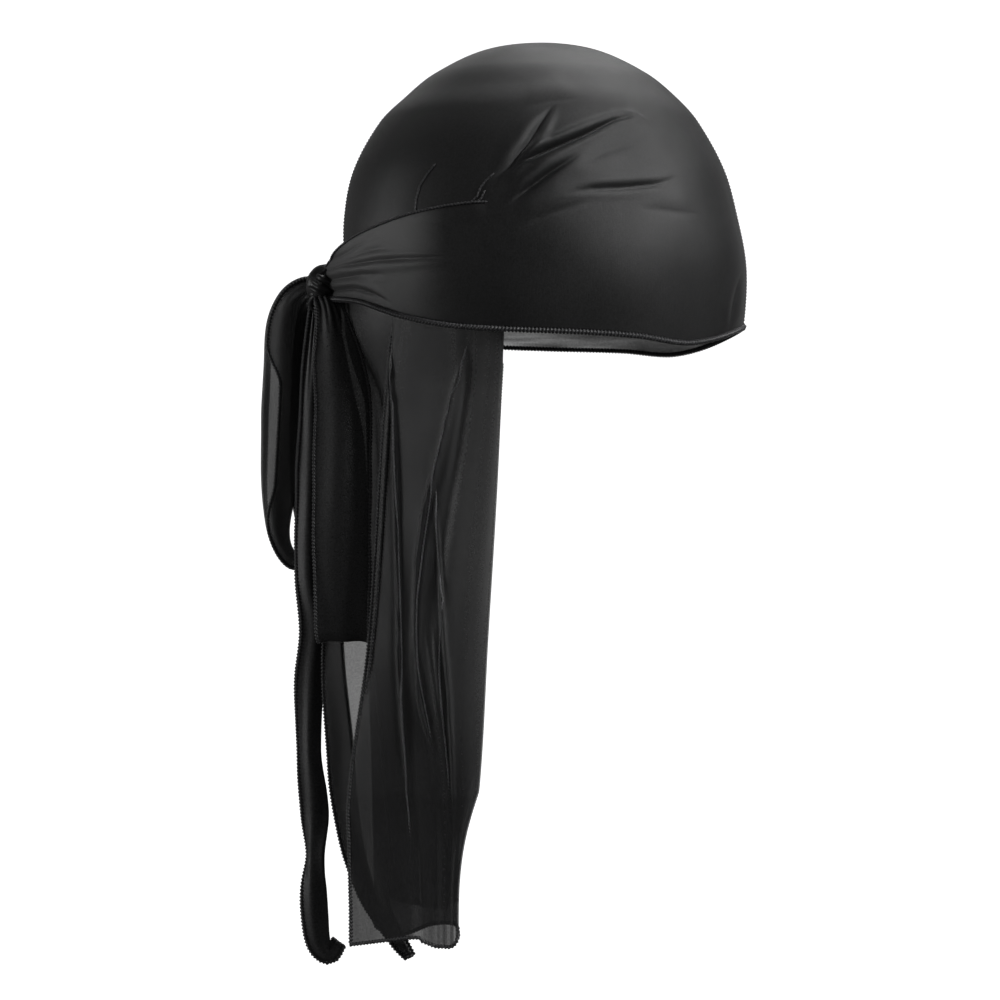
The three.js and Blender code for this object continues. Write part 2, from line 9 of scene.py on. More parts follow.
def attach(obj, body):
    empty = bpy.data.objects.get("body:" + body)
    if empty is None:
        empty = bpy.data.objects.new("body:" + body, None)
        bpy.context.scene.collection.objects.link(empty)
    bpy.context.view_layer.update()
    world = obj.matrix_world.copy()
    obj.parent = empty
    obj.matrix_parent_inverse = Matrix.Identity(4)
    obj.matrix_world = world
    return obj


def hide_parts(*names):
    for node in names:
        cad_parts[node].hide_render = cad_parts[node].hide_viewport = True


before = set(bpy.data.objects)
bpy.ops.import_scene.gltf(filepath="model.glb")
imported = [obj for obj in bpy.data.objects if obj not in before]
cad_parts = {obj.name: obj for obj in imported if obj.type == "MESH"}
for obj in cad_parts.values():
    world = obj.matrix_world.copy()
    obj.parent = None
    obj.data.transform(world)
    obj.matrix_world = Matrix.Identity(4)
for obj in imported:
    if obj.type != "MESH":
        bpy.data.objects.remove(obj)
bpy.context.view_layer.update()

# Black silky durag, worn form. Metres, +X to the forehead, +Y to the wearer's left, +Z up.
# The origin is the middle of the head opening.


# Scale of the photograph at the middle of the head, and where its middle looks
camera = {
    "pixel": 0.00049,          # metres a pixel
    "distance": 1.3,
    "sensor": 36.0,            # millimetres
    "originPixel": (544, 335),  # where the frame's origin falls in the picture
    "middlePixel": (500, 500),
    "width": 1000,             # of the picture, in pixels
}

crown = {
    "halfLength": 0.0985,
    "halfBreadth": 0.079,
    "height": 0.142,
    "wall": 0.0006,
    "cloth": (0.30, 0.21),  # size of the knit's map on it
    "egg": 0.05,          # forehead narrower than the back
    "tuck": 0.007,        # crown's edge above the hem where the cape is sewn on
    "tuckFrom": 0.63,     # where round the head it leaves the hem, and where it is that high
    "tuckFull": 0.69,
    "columns": 236,
    "rings": 160,
    "crowding": 0.05,     # how much the grid's lines gather where the creases are
    "crowdedTurn": 0.42,
    "crowdedHeight": 0.52,
    "wrinkle": 0.0009,    # slow unevenness of the cloth
    "wrinkleSize": 0.035,
    "smoothTop": (0.08, 0.3),  # creases fade out towards the middle, in shares of the half breadth
    "seamDip": 0.0006,    # how far the centre seam draws the cloth in
    "seamReach": 0.0016,
}

# Crown from the apex down; the first row mirrors the third, so that the top stays round
crownRows = [
    dict(at=-0.135, height=0.976, back=-0.298, front=-0.269, side=-0.3),
    dict(at=0, height=1, back=0, front=0, side=0),
    dict(at=0.135, height=0.976, back=0.298, front=0.269, side=0.3),
    dict(at=0.265, height=0.893, back=0.552, front=0.518, side=0.56),
    dict(at=0.353, height=0.811, back=0.696, front=0.662, side=0.7),
    dict(at=0.43, height=0.728, back=0.816, front=0.766, side=0.81),
    dict(at=0.558, height=0.562, back=0.945, front=0.895, side=0.93),
    dict(at=0.672, height=0.397, back=0.99, front=0.96, side=0.985),
    dict(at=0.78, height=0.246, back=0.985, front=1, side=1),
    dict(at=0.88, height=0.1, back=0.95, front=0.998, side=0.985),
    dict(at=1, height=-0.085, back=0.885, front=0.965, side=0.93),
]

# Hem line round the head, by the share of a half turn from the forehead
hemRows = [
    dict(at=0, rise=0.031),
    dict(at=0.1, rise=0.006),
    dict(at=0.25, rise=-0.048),
    dict(at=0.36, rise=-0.03),
    dict(at=0.5, rise=-0.018),
    dict(at=0.573, rise=-0.012),
    dict(at=0.663, rise=0.003),
    dict(at=0.766, rise=0.044),
    dict(at=0.86, rise=0.097),
    dict(at=0.95, rise=0.128),
    dict(at=1, rise=0.14),
]

# Creases as the camera sees them. points: where each runs, in pixels of the photograph; width: of its
# valley; dip: its depth; above and below: height of the ridges beside it, if any, in metres
crownCreases = [
    dict(points=((488, 184), (508, 167), (528, 142), (541, 122), (556, 102)),
         width=0.0019, dip=0.0027, above=0.0006, below=0.0014),
    dict(points=((497, 184), (520, 163), (548, 149), (582, 135), (612, 121), (648, 112)),
         width=0.0014, dip=0.0033, above=0.0014, below=0.0009),
    dict(points=((506, 206), (527, 189), (550, 172), (590, 147)),
         width=0.0017, dip=0.0021, above=0.0017),
    dict(points=((558, 194), (592, 189), (628, 187), (658, 184), (686, 175)),
         width=0.0015, dip=0.001, above=0.0008, below=0.0002),
    dict(points=((515, 228), (548, 214), (600, 198)), width=0.003, dip=0.0005, above=0.0006),
    dict(points=((635, 207), (666, 211), (704, 216)), width=0.0026, dip=0.0004, above=0.0004),
    dict(points=((522, 108), (548, 101), (584, 99)), width=0.0026, dip=0.0004, above=0.0004),
    dict(points=((575, 166), (608, 150), (655, 136)), width=0.005, dip=0.0009),
    dict(points=((620, 112), (636, 115), (652, 125)), width=0.0016, dip=-0.0009),
    dict(points=((744, 270), (738, 284), (734, 300), (731, 316), (728, 332)),
         width=0.0013, dip=0.0008, above=0.0005, below=0.0004),
]
# Gathers of the tie towards the knot, in the same way
wrapCreases = [
    dict(points=((470, 258), (420, 258), (380, 260), (352, 265), (325, 281)),
         width=0.0012, dip=0.0015, above=0.0007, below=0.0005),
    dict(points=((328, 297), (345, 288), (360, 288), (376, 294), (396, 305)),
         width=0.0011, dip=0.0013, above=0.001, below=0.0002),
    dict(points=((400, 246), (372, 250), (348, 262), (328, 280)),
         width=0.0018, dip=0.0008, above=0.0006, below=0.0004),
    dict(points=((396, 275), (366, 274), (345, 278), (325, 287)),
         width=0.0014, dip=0.0007, above=0.0004, below=0.0004),
    dict(points=((385, 235), (362, 246), (344, 261), (326, 280)),
         width=0.0013, dip=0.0007, above=0.0005, below=0.0003),
]
# Folds down the cape's near side
capeCreases = [
    dict(points=((382, 305), (379, 350), (377, 387), (373, 420), (369, 460)), width=0.001, dip=-0.0018),
    dict(points=((388, 300), (391, 355), (393, 400), (397, 500), (400, 600), (400, 660),
                 (403, 720), (407, 775), (412, 850)),
         width=0.001, dip=-0.0024, below=-0.0006),
    dict(points=((478, 315), (466, 350), (455, 387), (444, 435), (433, 480), (425, 513),
                 (418, 560), (415, 610), (414, 670)),
         width=0.0012, dip=-0.0021, above=-0.0005),
    dict(points=((414, 630), (418, 675), (420, 700), (427, 732), (440, 765)),
         width=0.001, dip=-0.0018, above=-0.0005),
    dict(points=((430, 460), (437, 520), (441, 570), (445, 640), (449, 690), (452, 745),
                 (454, 800), (455, 870)),
         width=0.001, dip=-0.002, below=-0.0005),
    dict(points=((347, 800), (362, 850), (374, 890), (388, 935)),
         width=0.0035, dip=0.0008, above=0.0008, below=0.0008),
    dict(points=((432, 620), (436, 660), (440, 700), (446, 730)), width=0.0014, dip=-0.0007),
    dict(points=((424, 620), (430, 660), (436, 700), (440, 735)), width=0.0014, dip=-0.0007),
]

wrap = {
    "notch": 0.619,       # share of a half turn where the tie's upper edge leaves the crown
    "front": 0.55,        # its hidden front end under the crown's cloth, on the right
    "frontLeft": 0.595,   # and on the left, where the hem's sheer band must stay single
    "end": 0.972,         # where it goes into the knot
    "slant": 0.03,        # how far its upper corner lies before the notch
    "wall": 0.0006,
    "cloth": (0.13, 0.06),
    "standoff": 0.009,    # how far it leaves the crown at the knot
    "hidden": -0.00038,   # its height on the crown under the cloth in front, and where it lies over it
    "raised": 0.0006,
    "overEdge": (0.02, 0.2),    # share of its breadth, and turn behind its front, over which it comes up
    "overFront": (0.04, 0.16),
    "frontRise": (0, 0.03),
    "gathered": (0.59, 0.63),   # turn over which its gathers begin
    "sink": 0.0014,       # how far the crown lies below it
    "sinkEdge": (0.04, 0.2),    # over which breadth and turn behind its front the crown sinks so
    "sinkFront": (0, 0.15),
    "columns": 170,
    "lanes": 56,
}
wrapRows = [
    dict(at=0.54, top=0.405, lift=0),
    dict(at=0.619, top=0.398, lift=0),
    dict(at=0.67, top=0.387, lift=0),
    dict(at=0.718, top=0.372, lift=0.01),
    dict(at=0.8, top=0.339, lift=0.05),
    dict(at=0.867, top=0.312, lift=0.2),
    dict(at=0.92, top=0.28, lift=0.55),
    dict(at=0.975, top=0.235, lift=1),
]


def curveOf(rows, name):
    # smooth curve through one column of a table, whose rows rise in "at"
    stations = [row["at"] for row in rows]
    values = [row[name] for row in rows]
    last = len(rows) - 1
    slopes = []
    for k in range(last + 1):
        before, after = max(k - 1, 0), min(k + 1, last)
        slopes.append((values[after] - values[before]) / (stations[after] - stations[before]))

    def value(at):
        k = min(max(bisect.bisect_right(stations, at) - 1, 0), last - 1)
        step = stations[k + 1] - stations[k]
        s = min(max((at - stations[k]) / step, 0.0), 1.0)
        rise = s * s * (3 - 2 * s)
        bent = slopes[k] * step * s * (1 - s) ** 2 - slopes[k + 1] * step * s * s * (1 - s)
        return values[k] + (values[k + 1] - values[k]) * rise + bent

    return value


def curvesOf(rows):
    return {name: curveOf(rows, name) for name in rows[0] if name != "at"}


def mix(a, b, share):
    return a + (b - a) * share


def smoothStep(low, high, value):
    s = min(max((value - low) / (high - low), 0.0), 1.0)
    return s * s * (3 - 2 * s)


crownCurves = curvesOf(crownRows)
hemRise = curveOf(hemRows, "rise")
wrapCurves = curvesOf(wrapRows)


def crownBase(at, turn):
    forwards, right = math.cos(math.pi * turn), math.sin(math.pi * turn)
    reach = crownCurves["front" if forwards > 0 else "back"](at)
    side = crownCurves["side"](at) * (1 - crown["egg"] * forwards)
    return Vector((crown["halfLength"] * reach * forwards,
                   -crown["halfBreadth"] * side * right,
                   crown["height"] * crownCurves["height"](at)))


def crownNormal(at, turn):
    step = 0.004
    if at < step:
        return Vector((0, 0, 1))
    down = crownBase(at + step, turn) - crownBase(at - step, turn)
    around = crownBase(at, turn + step) - crownBase(at, turn - step)
    return around.cross(down).normalized()


def crownAt(z):
    high, low = 0.0, 1.0
    for _ in range(24):
        middle = (high + low) / 2
        if crown["height"] * crownCurves["height"](middle) > z:
            high = middle
        else:
            low = middle
    return (high + low) / 2


def hemHeight(turn):
    turn = abs(turn)
    return crown["height"] * hemRise(2 - turn if turn > 1 else turn)


def seenAt(place):
    # where the camera sees a place of either side of the head, in pixels of the photograph
    nearness = 1 / (1 - abs(place.y) / camera["distance"])
    middle, origin = camera["middlePixel"], camera["originPixel"]
    return (middle[0] + (origin[0] - middle[0] + place.x / camera["pixel"]) * nearness,
            middle[1] + (origin[1] - middle[1] - place.z / camera["pixel"]) * nearness)


# Section of every crease, in shares of its width
creaseShape = {
    "reach": 7,           # how far away it is still felt
    "fade": 0.4,          # share of its length over which it grows and dies away
    "narrowing": 0.55,    # width at its ends
    "steepness": 1.6,
    "rounding": 0.04,
    "above": (2.6, 2.0),  # way from the valley to the ridge, and the ridge's breadth
    "below": (2.2, 1.5),
}


def creaseLift(place, creases):
    x, y = seenAt(place)
    shape = creaseShape
    lift = 0.0
    for crease in creases:
        points, reach = crease["points"], shape["reach"] * crease["width"] / camera["pixel"]
        if not (min(p[0] for p in points) - reach < x < max(p[0] for p in points) + reach
                and min(p[1] for p in points) - reach < y < max(p[1] for p in points) + reach):
            continue
        nearest, across, share = 1e9, 0.0, 0.0
        for k, (start, end) in enumerate(zip(points, points[1:])):
            dx, dy = end[0] - start[0], end[1] - start[1]
            length = math.hypot(dx, dy)
            along = ((x - start[0]) * dx + (y - start[1]) * dy) / (length * length)
            held = min(max(along, 0.0), 1.0)
            off = math.hypot(x - start[0] - held * dx, y - start[1] - held * dy)
            if off < nearest:
                nearest, share = off, (k + held) / (len(points) - 1)
                across = off * math.copysign(1, (x - start[0]) * dy - (y - start[1]) * dx)
        across *= camera["pixel"] / crease["width"]
        ends = smoothStep(0, shape["fade"], share) * (1 - smoothStep(1 - shape["fade"], 1, share))
        across /= mix(shape["narrowing"], 1, ends)
        depth = math.sqrt(across * across + shape["rounding"]) - math.sqrt(shape["rounding"])
        valley = math.exp(-shape["steepness"] * depth)
        (above, aboveBreadth), (below, belowBreadth) = shape["above"], shape["below"]
        ridges = crease.get("above", 0.0) * math.exp(-((across - above) / aboveBreadth) ** 2)
        ridges += crease.get("below", 0.0) * math.exp(-((across + below) / belowBreadth) ** 2)
        lift += ends * (ridges - crease["dip"] * valley)
    return lift


def softWrinkle(place, size, height):
    return height * noise.noise(Vector((place.x / size, place.y / size, place.z / size)))


def crownPlace(at, turn, proud):
    place = crownBase(at, turn)
    fade = smoothStep(*crown["smoothTop"], abs(place.y) / crown["halfBreadth"])
    lift = creaseLift(place, crownCreases) * fade
    lift += softWrinkle(place, crown["wrinkleSize"], crown["wrinkle"]) * fade
    return place + crownNormal(at, turn) * (proud + lift)


def finishMesh(bm, name, wall=0.0, merge=2e-5):
    bmesh.ops.remove_doubles(bm, verts=bm.verts, dist=merge)
    bmesh.ops.recalc_face_normals(bm, faces=bm.faces)
    for face in bm.faces:
        face.smooth = True
    mesh = bpy.data.meshes.new(name)
    bm.to_mesh(mesh)
    bm.free()
    piece = bpy.data.objects.new(name, mesh)
    bpy.context.scene.collection.objects.link(piece)
    if wall:
        solidify = piece.modifiers.new("wall", "SOLIDIFY")
        solidify.thickness = wall
        solidify.offset = 0
        solidify.use_even_offset = False
    return piece


def gridSheet(name, columns, lanes, place, flat, wall):
    # cloth as one grid: place(u, v) gives its points, flat its width and length for the knit
    bm = bmesh.new()
    bmesh.ops.create_grid(bm, x_segments=columns, y_segments=lanes, size=0.5)
    knitMap = bm.loops.layers.uv.new("knit")
    for face in bm.faces:
        for loop in face.loops:
            co = loop.vert.co
            loop[knitMap].uv = ((co.x + 0.5) * flat[0], (co.y + 0.5) * flat[1])
    for vert in bm.verts:
        vert.co = place(vert.co.x + 0.5, vert.co.y + 0.5)
    return finishMesh(bm, name, wall)


def evenPath(points, spacing):
    # the same path with its points an equal way apart
    lengths = [0.0]
    for a, b in zip(points, points[1:]):
        lengths.append(lengths[-1] + (b - a).length)
    count = max(4, round(lengths[-1] / spacing))
    path = []
    k = 0
    for step in range(count + 1):
        way = lengths[-1] * step / count
        while k < len(points) - 2 and lengths[k + 1] < way:
            k += 1
        share = (way - lengths[k]) / max(lengths[k + 1] - lengths[k], 1e-9)
        path.append(points[k].lerp(points[k + 1], min(max(share, 0), 1)))
    return path


stitch = {
    "pitch": 0.0017,      # one overlock stitch
    "steps": 5,           # rings a stitch
    "sides": 6,
    "swell": 0.36,
    "lean": 1.0,          # how much a stitch leans round the edge
}
# Radius of each rolled edge or seam
ropeRadius = {
    "ribbonHem": 0.00085,
    "crownHem": 0.0012,
    "centreSeam": 0.0006,
    "fineSeam": 0.0005,
    "tieEdge": 0.0006,
    "capeHem": 0.0009,
    "capeFold": 0.0004,
}


def hemRope(name, paths, radius):
    # overlocked edge: a rolled edge whose threads swell it once a stitch
    bm = bmesh.new()
    for points in paths:
        path = evenPath(points, stitch["pitch"] / stitch["steps"])
        rings = len(path) - 1
        grid = bmesh.ops.create_grid(bm, x_segments=rings, y_segments=stitch["sides"], size=0.5)
        side = Vector((0.3, 1, 0.2))
        frames = []
        for k in range(rings + 1):
            along = (path[min(k + 1, rings)] - path[max(k - 1, 0)]).normalized()
            side = (side - along * side.dot(along)).normalized()
            frames.append((side.copy(), along.cross(side)))
        for vert in grid["verts"]:
            k = round((vert.co.x + 0.5) * rings)
            angle = 2 * math.pi * (vert.co.y + 0.5)
            wave = math.cos(2 * math.pi * k / stitch["steps"] + stitch["lean"] * angle)
            ends = min(k, rings - k, 3) / 3
            r = radius * (1 + stitch["swell"] * wave) * mix(0.35, 1, ends)
            a, b = frames[k]
            vert.co = path[k] + a * (r * math.cos(angle)) + b * (r * math.sin(angle))
    bmesh.ops.remove_doubles(bm, verts=bm.verts, dist=2e-6)
    bmesh.ops.holes_fill(bm, edges=[edge for edge in bm.edges if edge.is_boundary], sides=0)
    return finishMesh(bm, name, merge=1e-6)


def settle(piece, slotName, *nodes):
    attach(piece, "root")
    if nodes:
        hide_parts(*nodes)


# Knit, grain and finish

def nodeGroup(name, inputs, outputs):
    group = bpy.data.node_groups.new(name, "ShaderNodeTree")
    for socketName, kind, value in inputs:
        socket = group.interface.new_socket(name=socketName, in_out="INPUT", socket_type=kind)
        if value is not None:
            socket.default_value = value
    for socketName, kind in outputs:
        group.interface.new_socket(name=socketName, in_out="OUTPUT", socket_type=kind)
    return group, group.nodes.new("NodeGroupInput"), group.nodes.new("NodeGroupOutput")


def mathNode(tree, operation, a, b=None, c=None):
    node = tree.nodes.new("ShaderNodeMath")
    node.operation = operation
    for socket, value in zip(node.inputs, (a, b, c)):
        if value is None:
            continue
        if isinstance(value, (int, float)):
            socket.default_value = value
        else:
            tree.links.new(value, socket)
    return node.outputs[0]


def noiseNode(tree, vector, scale, detail):
    node = tree.nodes.new("ShaderNodeTexNoise")
    node.inputs["Scale"].default_value = scale
    node.inputs["Detail"].default_value = detail
    tree.links.new(vector, node.inputs["Vector"])
    return node.outputs["Fac"]


def streakyNoise(tree, vector, scales, detail, slant=0.0):
    # noise with a scale of its own along each axis; slant: its turn round the second one
    node = tree.nodes.new("ShaderNodeMapping")
    node.inputs["Rotation"].default_value = (0, slant, 0)
    node.inputs["Scale"].default_value = scales
    tree.links.new(vector, node.inputs["Vector"])
    return noiseNode(tree, node.outputs[0], 1, detail)


def rangeNode(tree, value, start, full, low=0, high=1, soft=False):
    node = tree.nodes.new("ShaderNodeMapRange")
    if soft:
        node.interpolation_type = "SMOOTHSTEP"
    for name, setting in (("From Min", start), ("From Max", full), ("To Min", low), ("To Max", high)):
        node.inputs[name].default_value = setting
    tree.links.new(value, node.inputs["Value"])
    return node.outputs[0]


def axesNode(tree, vector):
    node = tree.nodes.new("ShaderNodeSeparateXYZ")
    tree.links.new(vector, node.inputs[0])
    return node.outputs


knit = {
    "dark": (0.001, 0.001, 0.0012),
    "light": (0.017, 0.017, 0.018),
    "rampEnds": (0.3, 0.8),      # shades that become dark and light
    "wale": 0.0006,
    "grainScale": 1100,
    "cloudScale": 38,
    "slubScales": (2600, 160, 1),
    "slub": 0.5,
    "loopHeight": 0.5,
    "grainHeight": 0.7,
    "grainShade": 0.75,
    "slubShade": 0.5,
    "roughness": 0.47,
    "unevenness": 0.16,          # how much its roughness changes
    "openness": 0.24,            # how much its sheerness changes with the grain
    "streakScales": (34, 2.5, 1),
    "sheen": 0.16,
    "sheenRoughness": 0.35,
    "bump": 0.32,
    "bumpDistance": 0.0002,
}


def silkyKnitGroup():
    # fine wales and courses of the knit, its yarn slubs and a slow unevenness
    group, given, out = nodeGroup(
        "silkyKnit",
        [("Coords", "NodeSocketVector", None), ("Place", "NodeSocketVector", None),
         ("Wale", "NodeSocketFloat", knit["wale"]), ("Slub", "NodeSocketFloat", knit["slub"])],
        [("Height", "NodeSocketFloat"), ("Shade", "NodeSocketFloat"), ("Cloud", "NodeSocketFloat")],
    )
    coords, place = given.outputs["Coords"], given.outputs["Place"]

    def times(a, b):
        return mathNode(group, "MULTIPLY", a, b)

    axes = axesNode(group, coords)
    turn = mathNode(group, "DIVIDE", 2 * math.pi, given.outputs["Wale"])
    wales, courses = [mathNode(group, "SINE", times(axes[k], turn)) for k in (0, 1)]
    loops = times(mathNode(group, "ABSOLUTE", wales), mathNode(group, "ABSOLUTE", courses))
    grain = noiseNode(group, place, knit["grainScale"], 2)
    yarn = times(streakyNoise(group, coords, knit["slubScales"], 1), given.outputs["Slub"])
    clouds = noiseNode(group, place, knit["cloudScale"], 3)

    rough = mathNode(group, "ADD", yarn, times(grain, knit["grainHeight"]))
    height = mathNode(group, "ADD", times(loops, knit["loopHeight"]), rough)
    shade = mathNode(group, "ADD", times(grain, knit["grainShade"]), times(yarn, knit["slubShade"]))
    for name, value in (("Height", height), ("Shade", shade), ("Cloud", clouds)):
        group.links.new(value, out.inputs[name])
    return group


knitGroup = silkyKnitGroup()


# Painted light: blends the knit's colour into a paler grey over a patch, where the part should look more lit.
def paintedLitPatch(tree, place, colour, litPatch):
    axes = axesNode(tree, place)
    backwards = rangeNode(tree, axes[0], *litPatch["back"], soft=True)
    upwards = rangeNode(tree, axes[2], *litPatch["up"], soft=True)
    # a Mix node's inputs 6 and 7 are its two colours, and output 2 the blended one
    blend = tree.nodes.new("ShaderNodeMix")
    blend.data_type = "RGBA"
    tree.links.new(mathNode(tree, "MULTIPLY", backwards, upwards), blend.inputs[0])
    tree.links.new(colour, blend.inputs[6])
    blend.inputs[7].default_value = [litPatch["grey"]] * 3 + [1]
    return blend.outputs[2]


def sheerBand(tree, place, alpha, closed, band):
    axes = axesNode(tree, place)
    thinnest = closed - 1 + math.sqrt(band["let"])
    thinning = rangeNode(tree, axes[2], *band["up"], thinnest, 0)
    wrinkles = streakyNoise(tree, place, band["wrinkles"], 2, band["slant"])
    uneven = mathNode(tree, "MULTIPLY_ADD", wrinkles, *band["uneven"])
    forwards = rangeNode(tree, axes[0], *band["forwards"], *band["thinned"])
    backwards = rangeNode(tree, axes[0], *band["backwards"])
    sheerness = mathNode(tree, "MULTIPLY", uneven, mathNode(tree, "MULTIPLY", forwards, backwards))
    return mathNode(tree, "MULTIPLY_ADD", thinning, sheerness, alpha)


def knitMaterial(name, let=0.0, roughness=knit["roughness"], wale=knit["wale"], toneAndPaintedLight=1.0, specular=0.42,
                 band=None, streaks=0.0, litPatch=None):
    # let: share of light that passes straight through one wall of two faces; its tone: a factor on its black,
    # which for the copies of the same cloth is painted light and shade, each part lighter or darker as it
    # should look lit
    # band: where a hem is more sheer than the rest
    # streaks: how much its sheerness changes across hanging folds
    # its paler patch: painted light, a paler grey where the part should look more lit; where the patch grows
    # from its front and foot on, and the grey it gets there
    material = bpy.data.materials.new(name)
    material.use_nodes = True
    tree = material.node_tree
    nodes, links = tree.nodes, tree.links
    shader = nodes["Principled BSDF"]
    coords = nodes.new("ShaderNodeTexCoord")
    flat, place = coords.outputs["UV"], coords.outputs["Object"]
    weave = nodes.new("ShaderNodeGroup")
    weave.node_tree = knitGroup
    links.new(flat, weave.inputs["Coords"])
    links.new(place, weave.inputs["Place"])
    weave.inputs["Wale"].default_value = wale
    weave.inputs["Slub"].default_value = knit["slub"]

    # The tone scales both ends of the ramp: painted light and shade, so that this part's copy of the black
    # knit looks as lit as it should.
    ramp = nodes.new("ShaderNodeValToRGB")
    for element, position, shade in zip(ramp.color_ramp.elements, knit["rampEnds"], ("dark", "light")):
        element.position = position
        element.color = [*(toneAndPaintedLight * c for c in knit[shade]), 1]
    links.new(weave.outputs["Shade"], ramp.inputs[0])
    colour = paintedLitPatch(tree, place, ramp.outputs[0], litPatch) if litPatch else ramp.outputs[0]
    links.new(colour, shader.inputs["Base Color"])

    rough = mathNode(tree, "MULTIPLY_ADD", weave.outputs["Cloud"], knit["unevenness"],
                     roughness - knit["unevenness"] / 2)
    links.new(rough, shader.inputs["Roughness"])
    bump = nodes.new("ShaderNodeBump")
    bump.inputs["Strength"].default_value = knit["bump"]
    bump.inputs["Distance"].default_value = knit["bumpDistance"]
    links.new(weave.outputs["Height"], bump.inputs["Height"])
    links.new(bump.outputs[0], shader.inputs["Normal"])
    shader.inputs["Specular IOR Level"].default_value = specular
    shader.inputs["Sheen Weight"].default_value = knit["sheen"]
    shader.inputs["Sheen Roughness"].default_value = knit["sheenRoughness"]
    if let:
        closed = 1 - math.sqrt(let)
        alpha = mathNode(tree, "MULTIPLY_ADD", weave.outputs["Shade"], knit["openness"],
                         closed - knit["openness"] / 2)
        if streaks:
            folds = streakyNoise(tree, flat, knit["streakScales"], 2)
            uneven = mathNode(tree, "MULTIPLY_ADD", folds, streaks, -0.5 * streaks)
            alpha = mathNode(tree, "ADD", alpha, uneven)
        if band:
            alpha = sheerBand(tree, place, alpha, closed, band)
        links.new(alpha, shader.inputs["Alpha"])
    return material


# Far side's hem, which is one sheer layer
hemBand = {
    "let": 0.2,                     # at the lower height
    "up": (0.004, 0.016),           # heights between which the cloth closes
    "forwards": (-0.02, 0.05),      # where it gets less sheer towards the forehead
    "thinned": (-1, -0.4),          # factor of its thinning at both ends of that
    "backwards": (-0.028, -0.019),  # where the band ends behind
    "wrinkles": (24, 24, 260),
    "slant": 0.3,
    "uneven": (-1.8, 1.75),         # how much the wrinkles close it
}

# All parts are one black knit: the different tones of these copies are painted light and shade, each part
# lighter or darker as it should look lit.
crownKnit = knitMaterial("crownKnit", toneAndPaintedLight=0.55, specular=0.36)
# The tie's paler upper back part is painted light, where it should look lit from above and behind.
tieKnit = knitMaterial("tieKnit", toneAndPaintedLight=0.55, specular=0.36,
                       litPatch=dict(back=(-0.046, -0.066), up=(0.004, 0.05), grey=0.085))
sheerBandKnit = knitMaterial("sheerBandKnit", let=0.0005, toneAndPaintedLight=0.55, specular=0.36, band=hemBand)
bowKnit = knitMaterial("bowKnit", let=0.045, toneAndPaintedLight=1.3)
innerBowKnit = knitMaterial("innerBowKnit", let=0.006, toneAndPaintedLight=1.0)
narrowKnit = knitMaterial("narrowKnit", toneAndPaintedLight=2.1)
endKnit = knitMaterial("endKnit", let=0.13, toneAndPaintedLight=0.7, specular=0.2)
# The cape's paler upper front part is painted light, where it should look more lit.
capeKnit = knitMaterial("capeKnit", let=0.06, toneAndPaintedLight=1.4, streaks=0.6,
                        litPatch=dict(back=(-0.062, -0.03), up=(-0.26, -0.08), grey=0.06))
knotKnit = knitMaterial("knotKnit", toneAndPaintedLight=0.7, specular=0.26)
hemThread = knitMaterial("hemThread", roughness=0.5, wale=0.0003, toneAndPaintedLight=3.0)
# Painted highlight: a far paler and glossier black for the thin ropes along the cape's fold edges.
foldHighlightKnit = knitMaterial("foldHighlightKnit", roughness=0.42, toneAndPaintedLight=6.0, specular=0.6)
print("materials made")


# Crown

def crownEdge(turn):
    tucked = smoothStep(crown["tuckFrom"], crown["tuckFull"], min(turn, 2 - turn))
    return hemHeight(turn) + crown["tuck"] * tucked


def wrapBand(turn):
    return crown["height"] * wrapCurves["top"](turn), hemHeight(turn)


def wrapFront(across, hand):
    return mix(wrap["notch"] - wrap["slant"], wrap["front" if hand > 0 else "frontLeft"], across)


def underTie(at, turn, hand):
    # how far the crown sinks under the tie, so that both look like one cloth in front
    if turn < wrap["front"]:
        return 0.0
    top, hem = wrapBand(turn)
    across = (top - crown["height"] * crownCurves["height"](at)) / max(top - hem, 0.001)
    behindFront = turn - wrapFront(across, hand)
    return wrap["sink"] * smoothStep(*wrap["sinkEdge"], across) * smoothStep(*wrap["sinkFront"], behindFront)


def crowded(share, middle):
    # a share from 0 to 1 whose even steps come closer together round the middle
    drawn = math.sin(2 * math.pi * (share - middle)) + math.sin(2 * math.pi * middle)
    return share - crown["crowding"] * drawn


def crownPanel(name, node, hand, material):
    edges = {}

    def place(u, v):
        key = round(u * crown["columns"])
        turn = crowded(u, crown["crowdedTurn"])
        if key not in edges:
            edges[key] = crownAt(crownEdge(turn))
        at = crowded(v, crown["crowdedHeight"]) * edges[key]
        proud = -crown["wall"] / 2 - underTie(at, turn, hand)
        spot = crownPlace(at, hand * turn, proud)
        seamDip = crown["seamDip"] * math.exp(-(spot.y / crown["seamReach"]) ** 2)
        return spot - crownNormal(at, hand * turn) * seamDip

    piece = gridSheet(name, crown["columns"], crown["rings"], place, crown["cloth"], crown["wall"])
    piece.data.materials.append(material)
    settle(piece, "crown_knit", node)
    return piece


crownRight = crownPanel("crown_half_right", "crown_right_panel", 1, crownKnit)
crownLeft = crownPanel("crown_half_left", "crown_left_panel", -1, sheerBandKnit)
print("crown panels made")


# Ties wrapped over the crown

def wrapPlace(turn, across, hand, extra=0.0):
    top, hem = wrapBand(turn)
    at = crownAt(mix(top, hem, across))
    behindFront = turn - wrapFront(across, hand)
    raised = max(1 - smoothStep(*wrap["overEdge"], across), smoothStep(*wrap["overFront"], behindFront))
    raised *= smoothStep(*wrap["frontRise"], behindFront)
    lift = wrap["standoff"] * wrapCurves["lift"](turn)
    lift += creaseLift(crownBase(at, turn), wrapCreases) * smoothStep(*wrap["gathered"], turn)
    proud = mix(wrap["hidden"], wrap["raised"], raised)
    return crownPlace(at, hand * turn, proud + lift + extra)


